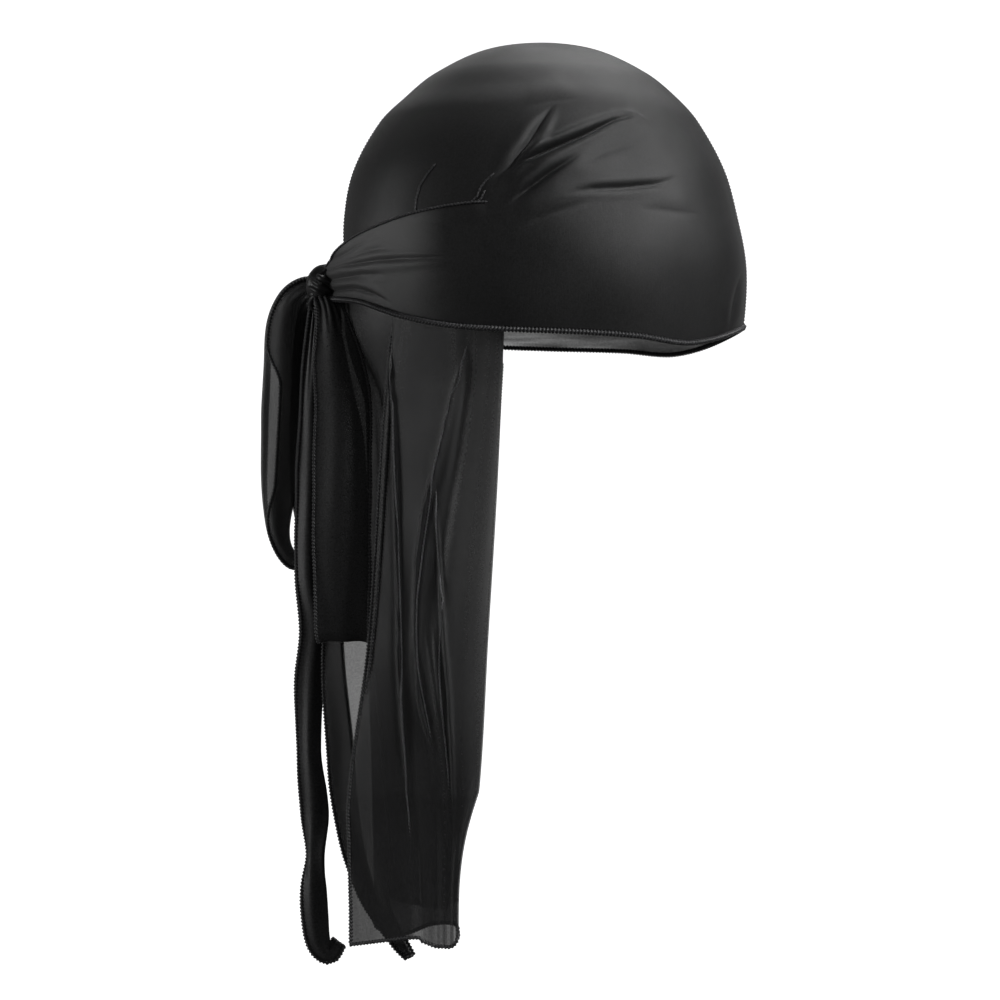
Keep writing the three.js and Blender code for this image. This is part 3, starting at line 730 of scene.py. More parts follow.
def wrapLayer(name, node, hand, material):
    def place(u, v):
        return wrapPlace(mix(wrapFront(v, hand), wrap["end"], u), v, hand)

    piece = gridSheet(name, wrap["columns"], wrap["lanes"], place, wrap["cloth"], wrap["wall"])
    piece.data.materials.append(material)
    settle(piece, "tie_knit", node)
    return piece


wrapRight = wrapLayer("tie_over_right", "tie_wrap_right", 1, tieKnit)
wrapLeft = wrapLayer("tie_over_left", "tie_wrap_left", -1, sheerBandKnit)
print("wrapped ties made")


# Knot

knot = {
    "length": 0.02,
    "breadth": 0.03,
    "height": 0.021,
    "behind": 0.0088,     # way of its middle behind the crown, and up from the origin
    "rise": 0.0235,
    "core": (0.43, 0.45, 0.42),  # radii of the core, in shares of the three sizes
    # bands wound round it. size: half-length and half-height; the second is the knuckle below
    "rings": (
        dict(offset=(0.0005, -0.002, 0.0005), size=(0.0068, 0.0078), tilt=(0.25, 0.5, 0),
             breadth=0.0062, thick=0.0027, pleats=5, phase=0.4),
        dict(offset=(-0.001, -0.0035, -0.0075), size=(0.0045, 0.0052), tilt=(0.5, -0.3, 0.5),
             breadth=0.0042, thick=0.0022, pleats=4, phase=2.0),
    ),
}
knotMiddle = Vector((-crown["halfLength"] - knot["behind"], 0, knot["rise"]))


def woundRing(bm, offset, size, tilt, breadth, thick, pleats, phase):
    # closed band of gathered cloth
    middle = knotMiddle + Vector(offset)
    grid = bmesh.ops.create_grid(bm, x_segments=90, y_segments=36, size=0.5)
    turned = Matrix.Rotation(tilt[0], 3, "X") @ Matrix.Rotation(tilt[1], 3, "Z")
    turned = turned @ Matrix.Rotation(tilt[2], 3, "Y")
    for vert in grid["verts"]:
        around = 2 * math.pi * (vert.co.x + 0.5)
        section = 2 * math.pi * (vert.co.y + 0.5)
        swell = 1 + 0.12 * math.sin(2 * around + phase)
        fold = 1 + 0.16 * math.cos(pleats * section + 1.3 * math.sin(around + phase))
        outwards = thick * fold * math.cos(section)
        sideways = breadth * swell * math.sin(section)
        r = Vector((math.cos(around), 0, math.sin(around)))
        spot = Vector((r.x * (size[0] + outwards), sideways, r.z * (size[1] + outwards)))
        vert.co = middle + turned @ spot


def knotPiece():
    bm = bmesh.new()
    core = bmesh.ops.create_uvsphere(bm, u_segments=64, v_segments=40, radius=1)
    for vert in core["verts"]:
        p = vert.co.copy()
        winding = math.atan2(p.y, p.x) + 1.6 * p.z
        swell = 1 + 0.07 * math.cos(7 * winding + 2 * p.z) * (1 - p.z * p.z)
        swell += 0.05 * noise.noise(p * 2.2)
        vert.co = knotMiddle + Vector((p.x * knot["length"] * knot["core"][0] * swell,
                                       p.y * knot["breadth"] * knot["core"][1] * swell,
                                       p.z * knot["height"] * knot["core"][2] * swell))
    for ring in knot["rings"]:
        woundRing(bm, **ring)
    piece = finishMesh(bm, "wound_knot")
    piece.data.materials.append(knotKnit)
    settle(piece, "tie_knit", "knot")


knotPiece()
print("knot made")


# Bow loops and loose ends

bow = {
    "reach": 0.031,       # outer loop behind the knot's middle
    "spread": 0.026,      # each loop out to its own side
    "wall": 0.0006,
    "lanes": 44,
    "lengthFold": 0.0005,  # heights of a strip's slow folds, of its gathers near the knot and of its dents
    "gathers": 0.0007,
    "dents": 0.0011,
    "waviness": 0.0008,   # of its edges
    "layer": 0.0014,      # way from one layer of a folded strip to the next
}

outerLoop = {
    "name": "bow_outer",
    "node": "bow_loop_outer",
    "drop": 0.139,
    "width": 0.018,
    "columns": 230,
    "looped": True,
    # how it is folded lengthwise, from one edge to the other: share of the strip, share across, layer
    "section": (
        dict(at=0, across=-0.38, layer=0),
        dict(at=0.06, across=-0.5, layer=0.1),
        dict(at=0.08, across=-0.5, layer=1),
        dict(at=0.55, across=0.5, layer=1),
        dict(at=0.57, across=0.5, layer=2),
        dict(at=1, across=-0.42, layer=2),
    ),
    "opening": dict(start=0.19, full=0.27, closing=0.44, end=0.52, width=0.34),
    "calm": 0.14,        # share of the length over which the gathers of the knot die away
    "rows": [
        dict(at=0, back=0.02, side=0.2, drop=0.02, width=0.7, bow=0.1),
        dict(at=0.05, back=0.3, side=0.34, drop=0.012, width=0.86, bow=0.15),
        dict(at=0.1, back=0.53, side=0.46, drop=0.055, width=0.98, bow=0.2),
        dict(at=0.17, back=0.63, side=0.52, drop=0.16, width=1.2, bow=0.2),
        dict(at=0.3, back=0.66, side=0.58, drop=0.4, width=1.28, bow=0.16),
        dict(at=0.42, back=0.74, side=0.62, drop=0.65, width=1.1, bow=0.14),
        dict(at=0.5, back=0.8, side=0.66, drop=0.83, width=0.68, bow=0.15),
        dict(at=0.55, back=0.7, side=0.68, drop=0.925, width=0.5, bow=0.15),
        dict(at=0.585, back=0.5, side=0.7, drop=0.968, width=0.46, bow=0.15),
        dict(at=0.62, back=0.33, side=0.72, drop=0.9, width=0.52, bow=0.15),
        dict(at=0.7, back=0.36, side=0.7, drop=0.7, width=0.78, bow=0.15),
        dict(at=0.83, back=0.34, side=0.6, drop=0.38, width=0.8, bow=0.15),
        dict(at=0.94, back=0.2, side=0.48, drop=0.1, width=0.85, bow=0.12),
        dict(at=1, back=0.02, side=0.3, drop=0.02, width=0.4, bow=0.1),
    ],
}
innerLoop = {
    "name": "bow_inner",
    "node": "bow_loop_inner",
    "drop": 0.173,
    "width": 0.027,
    "columns": 260,
    "looped": True,
    "flatTurn": True,     # its foot lies flat, seen from the side
    "calm": 0.1,
    "rows": [
        dict(at=0, back=0.02, side=-0.3, drop=0.02, width=0.34, bow=0.1),
        dict(at=0.04, back=-0.1, side=-0.56, drop=0.065, width=0.46, bow=0.16),
        dict(at=0.08, back=-0.19, side=-0.74, drop=0.14, width=0.64, bow=0.16),
        dict(at=0.12, back=-0.25, side=-0.84, drop=0.215, width=0.84, bow=0.15),
        dict(at=0.17, back=-0.32, side=-0.92, drop=0.32, width=0.97, bow=0.13),
        dict(at=0.25, back=-0.325, side=-0.96, drop=0.48, width=0.99, bow=0.12),
        dict(at=0.36, back=-0.31, side=-1, drop=0.72, width=0.99, bow=0.1),
        dict(at=0.47, back=-0.33, side=-1, drop=0.965, width=0.92, bow=0.04),
        dict(at=0.5, back=-0.34, side=-0.88, drop=1, width=0.86, bow=0),
        dict(at=0.53, back=-0.34, side=-0.76, drop=0.955, width=0.88, bow=0),
        dict(at=0.64, back=-0.32, side=-0.74, drop=0.72, width=0.9, bow=0),
        dict(at=0.78, back=-0.28, side=-0.68, drop=0.42, width=0.74, bow=0),
        dict(at=0.9, back=-0.12, side=-0.5, drop=0.18, width=0.42, bow=0),
        dict(at=1, back=0, side=-0.2, drop=0.03, width=0.34, bow=0),
    ],
}
narrowEnd = {
    "name": "narrow_end",
    "node": "tie_end_narrow",
    "drop": 0.333,
    "width": 0.014,
    "columns": 260,
    "section": (
        dict(at=0, across=-0.5, layer=0),
        dict(at=0.49, across=0.5, layer=0),
        dict(at=0.51, across=0.5, layer=1),
        dict(at=1, across=-0.46, layer=1),
    ),
    "calm": 0.2,
    "rows": [
        dict(at=0, back=0.1, side=0.08, drop=0.01, width=0.55, turn=0, bow=0.1),
        dict(at=0.08, back=0.16, side=0.12, drop=0.08, width=0.7, turn=0, bow=0.2),
        dict(at=0.2, back=0.2, side=0.14, drop=0.2, width=0.95, turn=0, bow=0.2),
        dict(at=0.42, back=0.24, side=0.14, drop=0.42, width=1.05, turn=0, bow=0.2),
        dict(at=0.5, back=0.17, side=0.15, drop=0.5, width=0.95, turn=-10, bow=0.2),
        dict(at=0.58, back=0.25, side=0.16, drop=0.58, width=1, turn=0, bow=0.2),
        dict(at=0.68, back=0.25, side=0.15, drop=0.68, width=0.82, turn=18, bow=0.2),
        dict(at=0.77, back=0.17, side=0.13, drop=0.77, width=0.96, turn=10, bow=0.2),
        dict(at=0.835, back=0.15, side=0.12, drop=0.835, width=0.8, turn=44, bow=0.25),
        dict(at=0.89, back=0.18, side=0.12, drop=0.885, width=0.9, turn=12, bow=0.2),
        dict(at=0.94, back=0.17, side=0.13, drop=0.932, width=0.9, turn=0, bow=0.2),
        dict(at=0.968, back=0.1, side=0.13, drop=0.968, width=0.8, turn=0, bow=0.2),
        dict(at=0.986, back=-0.06, side=0.13, drop=0.982, width=0.66, turn=0, bow=0.2),
        dict(at=1, back=-0.2, side=0.14, drop=0.966, width=0.5, turn=0, bow=0.15),
    ],
}
wideEnd = {
    "name": "wide_end",
    "node": "tie_end_wide",
    "drop": 0.322,
    "width": 0.031,
    "columns": 250,
    "section": (
        dict(at=0, across=0.5, layer=0),
        dict(at=0.46, across=-0.5, layer=0),
        dict(at=0.48, across=-0.5, layer=1),
        dict(at=0.72, across=0.0, layer=1),
        dict(at=0.74, across=0.0, layer=2),
        dict(at=1, across=-0.47, layer=2),
    ),
    "tipFold": (0.86, 0.95),  # where its front half folds in at the tip
    "calm": 0.2,
    "rows": [
        dict(at=0, back=-0.1, side=-0.06, drop=0.01, width=0.24, turn=0, bow=0.1),
        dict(at=0.1, back=-0.12, side=-0.14, drop=0.1, width=0.3, turn=0, bow=0.1),
        dict(at=0.22, back=-0.24, side=-0.2, drop=0.22, width=0.38, turn=0, bow=0.1),
        dict(at=0.42, back=-0.3, side=-0.28, drop=0.42, width=0.5, turn=6, bow=0.08),
        dict(at=0.5, back=-0.33, side=-0.36, drop=0.5, width=0.62, turn=14, bow=0.06),
        dict(at=0.58, back=-0.4, side=-0.56, drop=0.58, width=0.92, turn=30, bow=0.04),
        dict(at=0.68, back=-0.5, side=-0.72, drop=0.68, width=1, turn=34, bow=0.02),
        dict(at=0.8, back=-0.62, side=-0.84, drop=0.8, width=0.97, turn=34, bow=0.02),
        dict(at=0.9, back=-0.86, side=-0.98, drop=0.9, width=0.74, turn=32, bow=0.02),
        dict(at=0.975, back=-1.3, side=-1.1, drop=0.978, width=0.5, turn=30, bow=0),
        dict(at=1, back=-1.42, side=-1.12, drop=1, width=0.3, turn=30, bow=0),
    ],
}


def ribbonLength(band):
    return band["drop"] * (2 if band.get("looped") else 1)


def ribbonPlacer(band):
    curves = curvesOf(band["rows"])
    turnOf = curves.get("turn", lambda at: 0.0)

    def centre(at):
        at = min(max(at, 0.0), 1.0)
        return Vector((knotMiddle.x - bow["reach"] * curves["back"](at),
                       bow["spread"] * curves["side"](at),
                       knotMiddle.z - band["drop"] * curves["drop"](at)))

    section = band.get("section")
    opening = band.get("opening")

    def crossSection(u, v):
        # share across the strip and the layer, for a strip laid flat or folded lengthwise
        if not section:
            return v - 0.5, 0.0
        k = 0
        while k < len(section) - 2 and section[k + 1]["at"] < v:
            k += 1
        share = (v - section[k]["at"]) / (section[k + 1]["at"] - section[k]["at"])
        across = mix(section[k]["across"], section[k + 1]["across"], share)
        layer = mix(section[k]["layer"], section[k + 1]["layer"], smoothStep(0, 1, share))
        if opening and layer > 1.5:
            opened = smoothStep(opening["start"], opening["full"], u)
            opened *= 1 - smoothStep(opening["closing"], opening["end"], u)
            across = mix(0.5, across, 1 - opening["width"] * opened)
        if "tipFold" in band and across > 0:
            across *= 1 - smoothStep(*band["tipFold"], u)
        return across, layer

    def place(u, v):
        step = 0.003
        along = (centre(u + step) - centre(u - step)).normalized()
        across = Vector((1, 0, 0)) if band.get("flatTurn") else along.cross(Vector((0, 1, 0)))
        across = (across - along * across.dot(along)).normalized()
        across = Matrix.Rotation(math.radians(turnOf(u)), 3, along) @ across
        out = along.cross(across)
        share, layer = crossSection(u, v)
        breadth = band["width"] * curves["width"](u)
        lift = breadth * curves["bow"](u) * (1 - 4 * share * share)
        way = u * ribbonLength(band)
        drift = 0.6 * math.sin(way * 21) + 0.4 * math.sin(way * 47 + 1.3)
        near = min(u, 1 - u) if band.get("looped") else u
        gathered = 1 - smoothStep(0, band["calm"], near)
        fine = math.cos(2 * math.pi * (1.6 * share + 0.2 * drift)) * bow["lengthFold"]
        fine += math.cos(2 * math.pi * (4.5 * share - 0.3 * drift) + 1.1) * bow["gathers"] * gathered
        fine += noise.noise(Vector((share * breadth * 70, way * 16, band["width"] * 700))) * bow["dents"]
        spot = centre(u) + across * (share * breadth) + out * (lift + fine + (layer - 0.5) * bow["layer"])
        edge = noise.noise(Vector((way * 40, share * 2, 5.0))) * bow["waviness"] * abs(share) * 2
        return spot + across * edge

    return place


def ribbon(band, material):
    place = ribbonPlacer(band)
    steps, lanes = band["columns"], bow["lanes"]
    cloth = band["width"] * (2 if "section" in band else 1)
    piece = gridSheet(band["name"], steps, lanes, place, (ribbonLength(band), cloth), bow["wall"])
    piece.data.materials.append(material)
    settle(piece, "tie_knit", band["node"])
    edges = [[place(k / steps, v) for k in range(2, steps + 1)] for v in (0.0, 1.0)]
    if not band.get("looped"):
        foot = [place(1.0, k / lanes) for k in range(lanes + 1)]
        edges = [edges[0] + foot[1:-1] + edges[1][::-1]]
    rope = hemRope(band["name"] + "_hem", edges, ropeRadius["ribbonHem"])
    rope.data.materials.append(hemThread)
    settle(rope, "tie_knit")
    return piece, rope


ribbons = [
    ribbon(outerLoop, bowKnit),
    ribbon(innerLoop, innerBowKnit),
    ribbon(narrowEnd, narrowKnit),
    ribbon(wideEnd, endKnit),
]
print("bow and ends made")


# Cape

cape = {
    "drop": 0.292,
    "wall": 0.0006,
    "cloth": (0.47, 0.31),
    "tuckIn": 0.006,     # how far it reaches up under the ties
    "sewnDown": 0.001,   # and how far below the hem it still follows the crown
    "depth": 0.0012,     # how far it lies inside the crown there
    "layer": 0.0008,     # and how much further each layer above it pushes it
    "neck": 0.1,         # shares of the drop at which the table below gives its lines
    "middle": 0.51,
    "low": 0.76,
    "end": 1.0,
    "closing": 3.0,      # how soon the foot of the fold draws in below its low station
    "straightLines": range(10, 16),  # but not on these lines of the back
    "free": (0.025, 0.08),  # share of the drop over which folds grow below the seam
    "foldEnd": (6.4, 7),  # lines between which the near side's folds die away
    "ripple": 0.0012,
    "rippleEnd": (0.8, 1),  # share of the drop over which the ripple dies away
    "backLines": (9.5, 12),  # lines and share of the drop over which the back's folds grow
    "backShare": (0.05, 0.5),
    "broadFolds": 0.007,  # soft folds of the back, broad ones and narrow ones
    "slimFolds": 0.0022,
    "nape": 0.006,       # bulge of its root behind the nape
    "napeLine": (13, 1.3),      # where that is: middle and reach along the lines
    "napeShare": (0.055, 0.035),  # and down the drop
    "nearLines": 8,      # lines whose folds show, with a finer grid
    "nearColumns": 14,
    "farColumns": 7,
    "steps": 256,
}
# Lines down the cape, from its free edge on the right, forwards to the fold, back inside it, round the
# nape and forwards to the free edge on the left: where each is sewn on (share of a half turn), layers of
# cloth above it if any, its drop, and x and y at four heights in shares of half the crown's length and breadth
capeLines = [
    dict(seat=0.79, drop=1.005, neck=(-0.765, -0.49), middle=(-0.853, -0.49),
         low=(-0.949, -0.43), end=(-0.944, -0.4)),
    dict(seat=0.77, drop=0.988, neck=(-0.735, -0.55), middle=(-0.7, -0.6),
         low=(-0.68, -0.56), end=(-0.642, -0.53)),
    dict(seat=0.72, drop=0.993, neck=(-0.6, -0.655), middle=(-0.66, -0.625),
         low=(-0.62, -0.58), end=(-0.59, -0.545)),
    dict(seat=0.66, drop=1.0, neck=(-0.432, -0.77), middle=(-0.623, -0.65),
         low=(-0.545, -0.605), end=(-0.53, -0.565)),
    dict(seat=0.635, drop=1.0, neck=(-0.38, -0.76), middle=(-0.55, -0.69),
         low=(-0.5, -0.63), end=(-0.495, -0.58)),
    dict(seat=0.615, drop=1, neck=(-0.33, -0.8), middle=(-0.48, -0.715),
         low=(-0.44, -0.648), end=(-0.46, -0.595)),
    dict(seat=0.595, drop=0.996, neck=(-0.27, -0.82), middle=(-0.385, -0.718),
         low=(-0.37, -0.65), end=(-0.44, -0.605)),
    dict(seat=0.577, under=0.1, drop=0.988, neck=(-0.225, -0.835), middle=(-0.29, -0.7),
         low=(-0.33, -0.635), end=(-0.425, -0.605)),
    dict(seat=0.573, under=1, drop=0.978, neck=(-0.218, -0.805), middle=(-0.28, -0.665),
         low=(-0.325, -0.605), end=(-0.42, -0.575)),
    dict(seat=0.583, under=1.9, drop=0.965, neck=(-0.26, -0.77), middle=(-0.335, -0.63),
         low=(-0.365, -0.57), end=(-0.44, -0.53)),
    dict(seat=0.66, under=2, drop=0.972, neck=(-0.45, -0.66), middle=(-0.52, -0.47),
         low=(-0.53, -0.42), end=(-0.55, -0.38)),
    dict(seat=0.76, under=2, drop=0.997, neck=(-0.66, -0.48), middle=(-0.7, -0.3),
         low=(-0.71, -0.27), end=(-0.72, -0.24)),
    dict(seat=0.87, under=1, drop=0.985, neck=(-0.83, -0.24), middle=(-0.868, -0.14),
         low=(-0.86, -0.13), end=(-0.84, -0.12)),
    dict(seat=1, drop=0.985, neck=(-0.885, 0), middle=(-0.885, 0.02),
         low=(-0.865, 0.03), end=(-0.85, 0.03)),
    dict(seat=1.13, drop=0.95, neck=(-0.82, 0.28), middle=(-0.83, 0.2),
         low=(-0.81, 0.22), end=(-0.8, 0.23)),
    dict(seat=1.24, drop=0.97, neck=(-0.67, 0.55), middle=(-0.72, 0.45),
         low=(-0.7, 0.46), end=(-0.69, 0.47)),
    dict(seat=1.32, drop=0.98, neck=(-0.51, 0.68), middle=(-0.58, 0.52),
         low=(-0.56, 0.51), end=(-0.55, 0.5)),
    dict(seat=1.38, drop=0.985, neck=(-0.38, 0.78), middle=(-0.46, 0.71),
         low=(-0.465, 0.68), end=(-0.5, 0.65)),
    dict(seat=1.427, drop=0.965, neck=(-0.22, 0.84), middle=(-0.29, 0.72),
         low=(-0.355, 0.66), end=(-0.492, 0.6)),
]


def capeSurface():
    lineCurves = []
    for line in capeLines:
        def sewn(rise):
            at = crownAt(hemHeight(line["seat"]) + rise)
            depth = cape["depth"] + line.get("under", 0) * cape["layer"]
            return crownBase(at, line["seat"]) - crownNormal(at, line["seat"]) * depth

        rows = []
        for at, spot in ((0.0, sewn(cape["tuckIn"])), (0.03, sewn(-cape["sewnDown"]))):
            rows.append(dict(at=at, x=spot.x, y=spot.y, z=spot.z))
        for name in ("neck", "middle", "low", "end"):
            at, (x, y) = cape[name], line[name]
            rows.append(dict(at=at, x=x * crown["halfLength"], y=y * crown["halfBreadth"],
                             z=-cape["drop"] * line["drop"] * at))
        lineCurves.append(curvesOf(rows))
    last = len(lineCurves) - 1

    def closedIn(v, k):
        # the foot of the fold and of the free edges draws in early, while the back hangs straight
        if v < cape["low"] or k in cape["straightLines"]:
            return v
        rest = 1 - cape["low"]
        return 1 - rest * (max(0.0, 1 - v) / rest) ** cape["closing"]

    def smooth(u, v):
        across = min(max(u, 0.0), 1.0) * last
        first = max(0, min(int(across) - 1, last - 3))
        spots = []
        for k in range(first, first + 4):
            curves = lineCurves[k]
            spread = closedIn(v, k)
            spots.append(dict(at=k, x=curves["x"](spread), y=curves["y"](spread), z=curves["z"](v)))
        near = curvesOf(spots)
        return Vector((near["x"](across), near["y"](across), near["z"](across)))

    return smooth, last


capeSmooth, capeLast = capeSurface()


def capeColumns():
    return cape["nearLines"] * cape["nearColumns"] + (capeLast - cape["nearLines"]) * cape["farColumns"]


def capeShare(u):
    # share of the lines at a share of the grid's columns
    column = u * capeColumns()
    near = cape["nearLines"] * cape["nearColumns"]
    if column < near:
        return column / cape["nearColumns"] / capeLast
    return (cape["nearLines"] + (column - near) / cape["farColumns"]) / capeLast


def capePlace(u, v):
    step = 0.0015
    u = capeShare(u)
    spot = capeSmooth(u, v)
    around = capeSmooth(u + step, v) - capeSmooth(u - step, v)
    down = capeSmooth(u, v + step) - capeSmooth(u, v - step)
    out = down.cross(around).normalized()
    line = u * capeLast
    free = smoothStep(*cape["free"], v)
    lift = 0.0
    if line < cape["foldEnd"][1]:
        lift += creaseLift(spot, capeCreases) * free * (1 - smoothStep(*cape["foldEnd"], line))
    fading = 1 - smoothStep(*cape["rippleEnd"], v)
    lift += cape["ripple"] * free * fading * noise.noise(Vector((line * 0.9, v * 2.2, 3.0)))
    behind = smoothStep(*cape["backLines"], line) * smoothStep(*cape["backShare"], v)
    lift += behind * cape["broadFolds"] * noise.noise(Vector((line * 1.1, v * 0.7, 7.0)))
    lift += behind * cape["slimFolds"] * noise.noise(Vector((line * 3.1, v * 1.2, 8.0)))
    (napeLine, lineReach), (napeShare, shareReach) = cape["napeLine"], cape["napeShare"]
    nape = math.exp(-((line - napeLine) / lineReach) ** 2) * math.exp(-((v - napeShare) / shareReach) ** 2)
    return spot + out * (lift - cape["nape"] * nape)


hangingCape = gridSheet("hanging_cape", capeColumns(), cape["steps"], capePlace, cape["cloth"], cape["wall"])
hangingCape.data.materials.append(capeKnit)
settle(hangingCape, "cape_knit", "cape")
print("cape made")


# Overlocked hems and seams

hemPath = {
    "reach": 0.64,        # from the middle of the forehead to where the ties' lower edges take over
    "tieStart": 0.642,
    "proud": (0.0003, 0.0009),    # its height over the crown in front, and behind this turn
    "proudTurn": (0.55, 0.6),
    "tieProud": 0.0013,
    "upperStart": 0.028,  # how far before the notch the rope on a tie's upper edge starts
    "upperProud": 0.0004,
    "seamPoints": 139,
    "capeTop": 0.05,      # share of the drop where the cape's rolled edge starts
    "threadProud": 0.0001,
    "foldProud": 0.0004,
}


def wrapHemPath(hand, across, start, extra):
    count = 90
    return [wrapPlace(mix(start, wrap["end"], k / count), across, hand, extra) for k in range(count + 1)]


def crownHemPath():
    # from the knot round the crown's hem to the knot again
    count = 320
    path = []
    for k in range(count + 1):
        turn = mix(-hemPath["reach"], hemPath["reach"], k / count)
        proud = mix(*hemPath["proud"], smoothStep(*hemPath["proudTurn"], abs(turn)))
        path.append(crownPlace(crownAt(hemHeight(turn)), turn, proud))
    left, right = [wrapHemPath(hand, 1.0, hemPath["tieStart"], hemPath["tieProud"]) for hand in (-1, 1)]
    return left[::-1] + path + right


def crownSeamPath():
    # from the back edge over the top to the forehead
    def half(turn, first):
        top, count = crown["height"] * 0.999, hemPath["seamPoints"]
        heights = [mix(top, crownEdge(turn), k / count) for k in range(first, count + 1)]
        return [crownPlace(crownAt(height), turn, 0.0) for height in heights]

    return half(1.0, 1)[::-1] + half(0.0, 0)


def crownUnder(x, y):
    # place of the right side of the crown that the camera sees at a point of the photograph
    depth = -0.06    # a first guess
    middle, origin = camera["middlePixel"], camera["originPixel"]
    for _ in range(8):
        nearness = 1 / (1 + depth / camera["distance"])
        alongX = ((x - middle[0]) / nearness + middle[0] - origin[0]) * camera["pixel"]
        alongZ = -((y - middle[1]) / nearness + middle[1] - origin[1]) * camera["pixel"]
        at = crownAt(alongZ)
        front, back = 0.0, 1.0
        for _ in range(20):
            turn = (front + back) / 2
            if crownBase(at, turn).x > alongX:
                front = turn
            else:
                back = turn
        depth = crownBase(at, turn).y
    return at, turn


def seamThread(points):
    places = [crownUnder(x, y) for x, y in points]
    path = []
    for (at0, turn0), (at1, turn1) in zip(places, places[1:]):
        path += [crownPlace(mix(at0, at1, k / 12), mix(turn0, turn1, k / 12), hemPath["threadProud"])
                 for k in range(12)]
    return path + [crownPlace(*places[-1], hemPath["threadProud"])]


# Fine seams on the crown above the tie, in pixels of the photograph
seamLines = [
    ((470, 203), (477, 196), (480, 188), (486, 180), (494, 173)),
    ((474, 205), (481, 198), (485, 190)),
    ((415, 213), (416, 200), (420, 186), (427, 175), (436, 164)),
]


def capeEdgePath():
    # down the free edge on the right, along the foot and up the free edge on the left
    top, count, footCount = hemPath["capeTop"], 300, 600
    right = [capePlace(0.0, mix(top, 1, k / count)) for k in range(count + 1)]
    foot = [capePlace(k / footCount, 1.0) for k in range(1, footCount)]
    left = [capePlace(1.0, mix(1, top, k / count)) for k in range(count + 1)]
    return right + foot + left


def capeUnder(x, y):
    # place on the near side of the cape that the camera sees at a point of the photograph
    u, v = 0.1, 0.5
    for _ in range(4):
        low, high = 0.0, 0.36
        for _ in range(12):
            u = (low + high) / 2
            if seenAt(capePlace(u, v))[0] < x:
                low = u
            else:
                high = u
        low, high = 0.0, 1.0
        for _ in range(12):
            v = (low + high) / 2
            if seenAt(capePlace(u, v))[1] < y:
                low = v
            else:
                high = v
    return u, v


def capeThread(points, sink):
    # path on the cape through points of the photograph; sink: how far it goes in at both ends, in metres
    places = [capeUnder(x, y) for x, y in points]
    path = []
    for (u0, v0), (u1, v1) in zip(places, places[1:]):
        path += [capePlace(mix(u0, u1, k / 16), mix(v0, v1, k / 16)) for k in range(16)]
    path.append(capePlace(*places[-1]))
    count = len(path) - 1
    outwards = Vector((0, -1, 0))
    for k, spot in enumerate(path):
        sunk = 1 - smoothStep(0, 0.12, min(k, count - k) / count)
        path[k] = spot + outwards * (hemPath["foldProud"] - sink * sunk)
    return path


# Sharp folds pressed into the cape, drawn as thin ropes: a ridge on each fold edge whose much paler, glossier
# black is a painted highlight; and its hem where it lies folded back on the cape, in pixels of the photograph
foldLines = [
    ((381, 326), (377, 365), (374, 414), (371, 500), (369, 590)),
    ((391, 326), (392, 365), (393, 406), (398, 529), (400, 600), (401, 696), (406, 773), (411, 870)),
    ((472, 336), (462, 362), (451, 395), (432, 475), (424, 540), (417, 600), (417, 650), (425, 708),
     (434, 754)),
    ((433, 480), (436, 521), (443, 600), (448, 660), (451, 715), (453, 815)),
]
foldedHem = ((390, 340), (390, 394), (387, 450), (384, 500), (380, 560), (376, 610), (371, 655), (366, 695))
threadSink = {"foldedHem": 0.0014, "foldLine": 0.0008}


def hem(name, slotName, paths, radius, material=hemThread):
    rope = hemRope(name, paths, radius)
    rope.data.materials.append(material)
    settle(rope, slotName)
    return rope


crownHem = hem("crown_hem", "crown_knit", [crownHemPath()], ropeRadius["crownHem"])
centreSeam = hem("centre_seam", "crown_knit", [crownSeamPath()], ropeRadius["centreSeam"])
seams = hem("fine_seams", "crown_knit", [seamThread(line) for line in seamLines], ropeRadius["fineSeam"])
for side, hand in (("right", 1), ("left", -1)):
    upperEdge = wrapHemPath(hand, 0.0, wrap["notch"] - hemPath["upperStart"], hemPath["upperProud"])
    hem("tie_edge_" + side, "tie_knit", [upperEdge], ropeRadius["tieEdge"])
capeHem = hem("cape_hem", "cape_knit", [capeEdgePath(), capeThread(foldedHem, threadSink["foldedHem"])],
              ropeRadius["capeHem"])
# Ropes along the cape's folds: a small ridge on each fold edge, with a painted highlight in their pale
# material.
capeFoldHighlights = hem("cape_fold_highlights", "cape_knit", [capeThread(line, threadSink["foldLine"]) for line in foldLines],
                ropeRadius["capeFold"], foldHighlightKnit)
print("hems made")


# Cloth

def flatArea(piece):
    return sum(face.area for face in piece.data.polygons)


for piece in (crownRight, crownLeft, wrapRight, wrapLeft, hangingCape, *[pair[0] for pair in ribbons]):
    print("area", piece.name, round(flatArea(piece), 5))


# Studio

studio = {
    "white": 0.9,
    "planeSize": 6,
    "backdrop": 5,        # how far behind the middle it stands
    "floor": -1.5,
    "ambient": 0.13,      # light of the white surroundings, which the camera sees at full strength
}
# Area lights aimed at the middle: place, two sizes, watts
lights = {
    "keyLight": ((1.6, -1.0, 1.2), (1.0, 1.0), 58),
    "topLight": ((0.5, 0.8, 1.9), (1.2, 1.2), 25),
    "sideLight": ((-2.0, -0.1, 0.05), (0.5, 0.4), 11),
}


def studioMaterial():
    material = bpy.data.materials.new("studioWhite")
    material.use_nodes = True
    shader = material.node_tree.nodes["Principled BSDF"]
    shader.inputs["Base Color"].default_value = [studio["white"]] * 3 + [1]
    shader.inputs["Roughness"].default_value = 1
    shader.inputs["Specular IOR Level"].default_value = 0
    shader.inputs["Emission Color"].default_value = (1, 1, 1, 1)
    shader.inputs["Emission Strength"].default_value = 1.0
    return material


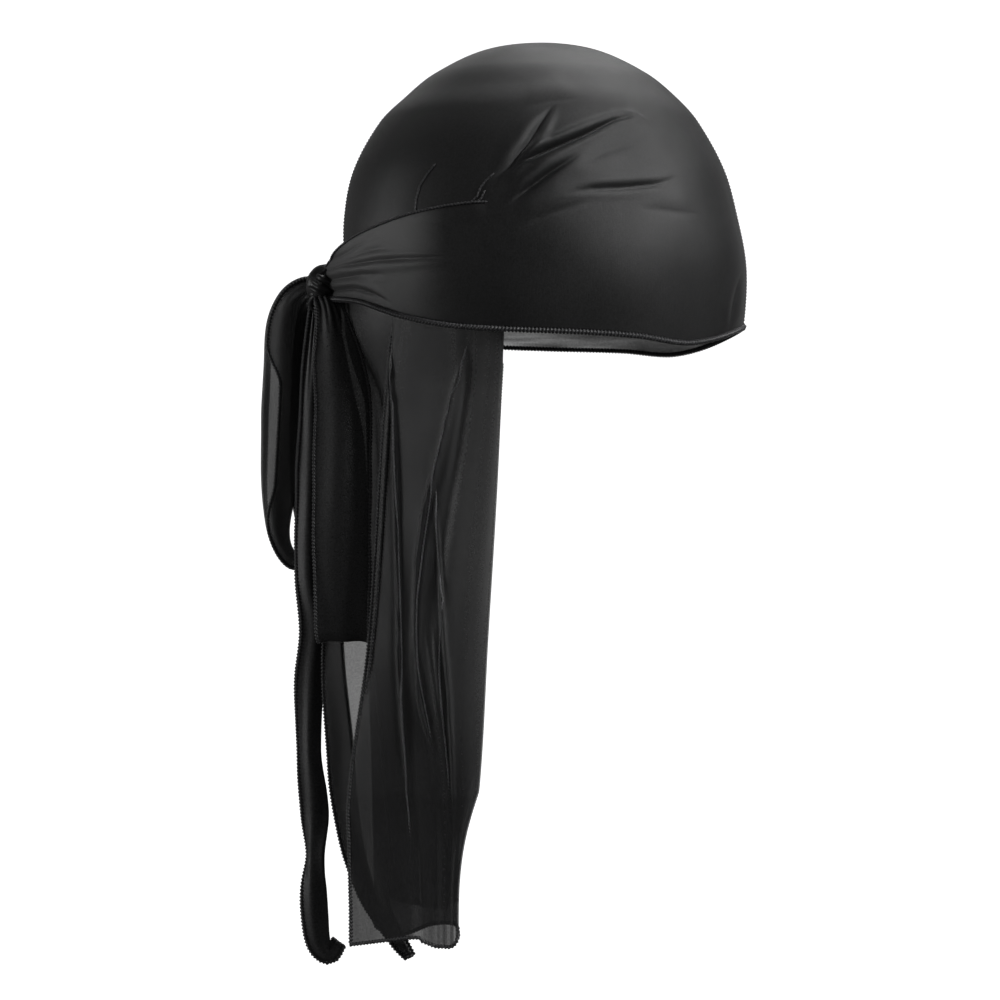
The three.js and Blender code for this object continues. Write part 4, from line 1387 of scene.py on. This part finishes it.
def studioPlane(name, middle, turn):
    bm = bmesh.new()
    bmesh.ops.create_grid(bm, x_segments=1, y_segments=1, size=studio["planeSize"])
    matrix = Matrix.Translation(middle) @ Matrix.Rotation(turn, 4, "X")
    bmesh.ops.transform(bm, matrix=matrix, verts=bm.verts)
    mesh = bpy.data.meshes.new(name)
    bm.to_mesh(mesh)
    bm.free()
    plane = bpy.data.objects.new(name, mesh)
    bpy.context.scene.collection.objects.link(plane)
    plane.data.materials.append(studioWhite)
    plane.visible_diffuse = False
    plane.visible_glossy = False


studioWhite = studioMaterial()
studioPlane("backdrop", Vector((0, studio["backdrop"], 0)), math.pi / 2)
studioPlane("floor", Vector((0, 0, studio["floor"])), 0.0)


def areaLight(name, place, size, power):
    light = bpy.data.lights.new(name, "AREA")
    light.shape = "RECTANGLE"
    light.size, light.size_y = size
    light.energy = power
    lamp = bpy.data.objects.new(name, light)
    lamp.location = place
    lamp.rotation_euler = (Vector((0, 0, 0)) - Vector(place)).to_track_quat("-Z", "Y").to_euler()
    bpy.context.scene.collection.objects.link(lamp)


for name, (place, size, power) in lights.items():
    areaLight(name, place, size, power)

world = bpy.data.worlds.new("studio")
world.use_nodes = True
worldTree = world.node_tree
background = worldTree.nodes["Background"]
lightPath = worldTree.nodes.new("ShaderNodeLightPath")
strength = mathNode(worldTree, "MULTIPLY_ADD", lightPath.outputs["Is Camera Ray"],
                    1 - studio["ambient"], studio["ambient"])
worldTree.links.new(strength, background.inputs["Strength"])
background.inputs["Color"].default_value = (1, 1, 1, 1)
bpy.context.scene.world = world

bpy.context.scene.view_settings.view_transform = "Standard"
bpy.context.scene.view_settings.look = "None"

lens = bpy.data.cameras.new("photoCamera")
lens.sensor_width = camera["sensor"]
lens.lens = camera["sensor"] * camera["distance"] / (camera["width"] * camera["pixel"])
lens.clip_end = 100
photoCamera = bpy.data.objects.new("photoCamera", lens)
aside = (camera["middlePixel"][0] - camera["originPixel"][0]) * camera["pixel"]
above = (camera["originPixel"][1] - camera["middlePixel"][1]) * camera["pixel"]
photoCamera.location = (aside, -camera["distance"], above)
photoCamera.rotation_euler = (math.pi / 2, 0, 0)
bpy.context.scene.collection.objects.link(photoCamera)
bpy.context.scene.camera = photoCamera
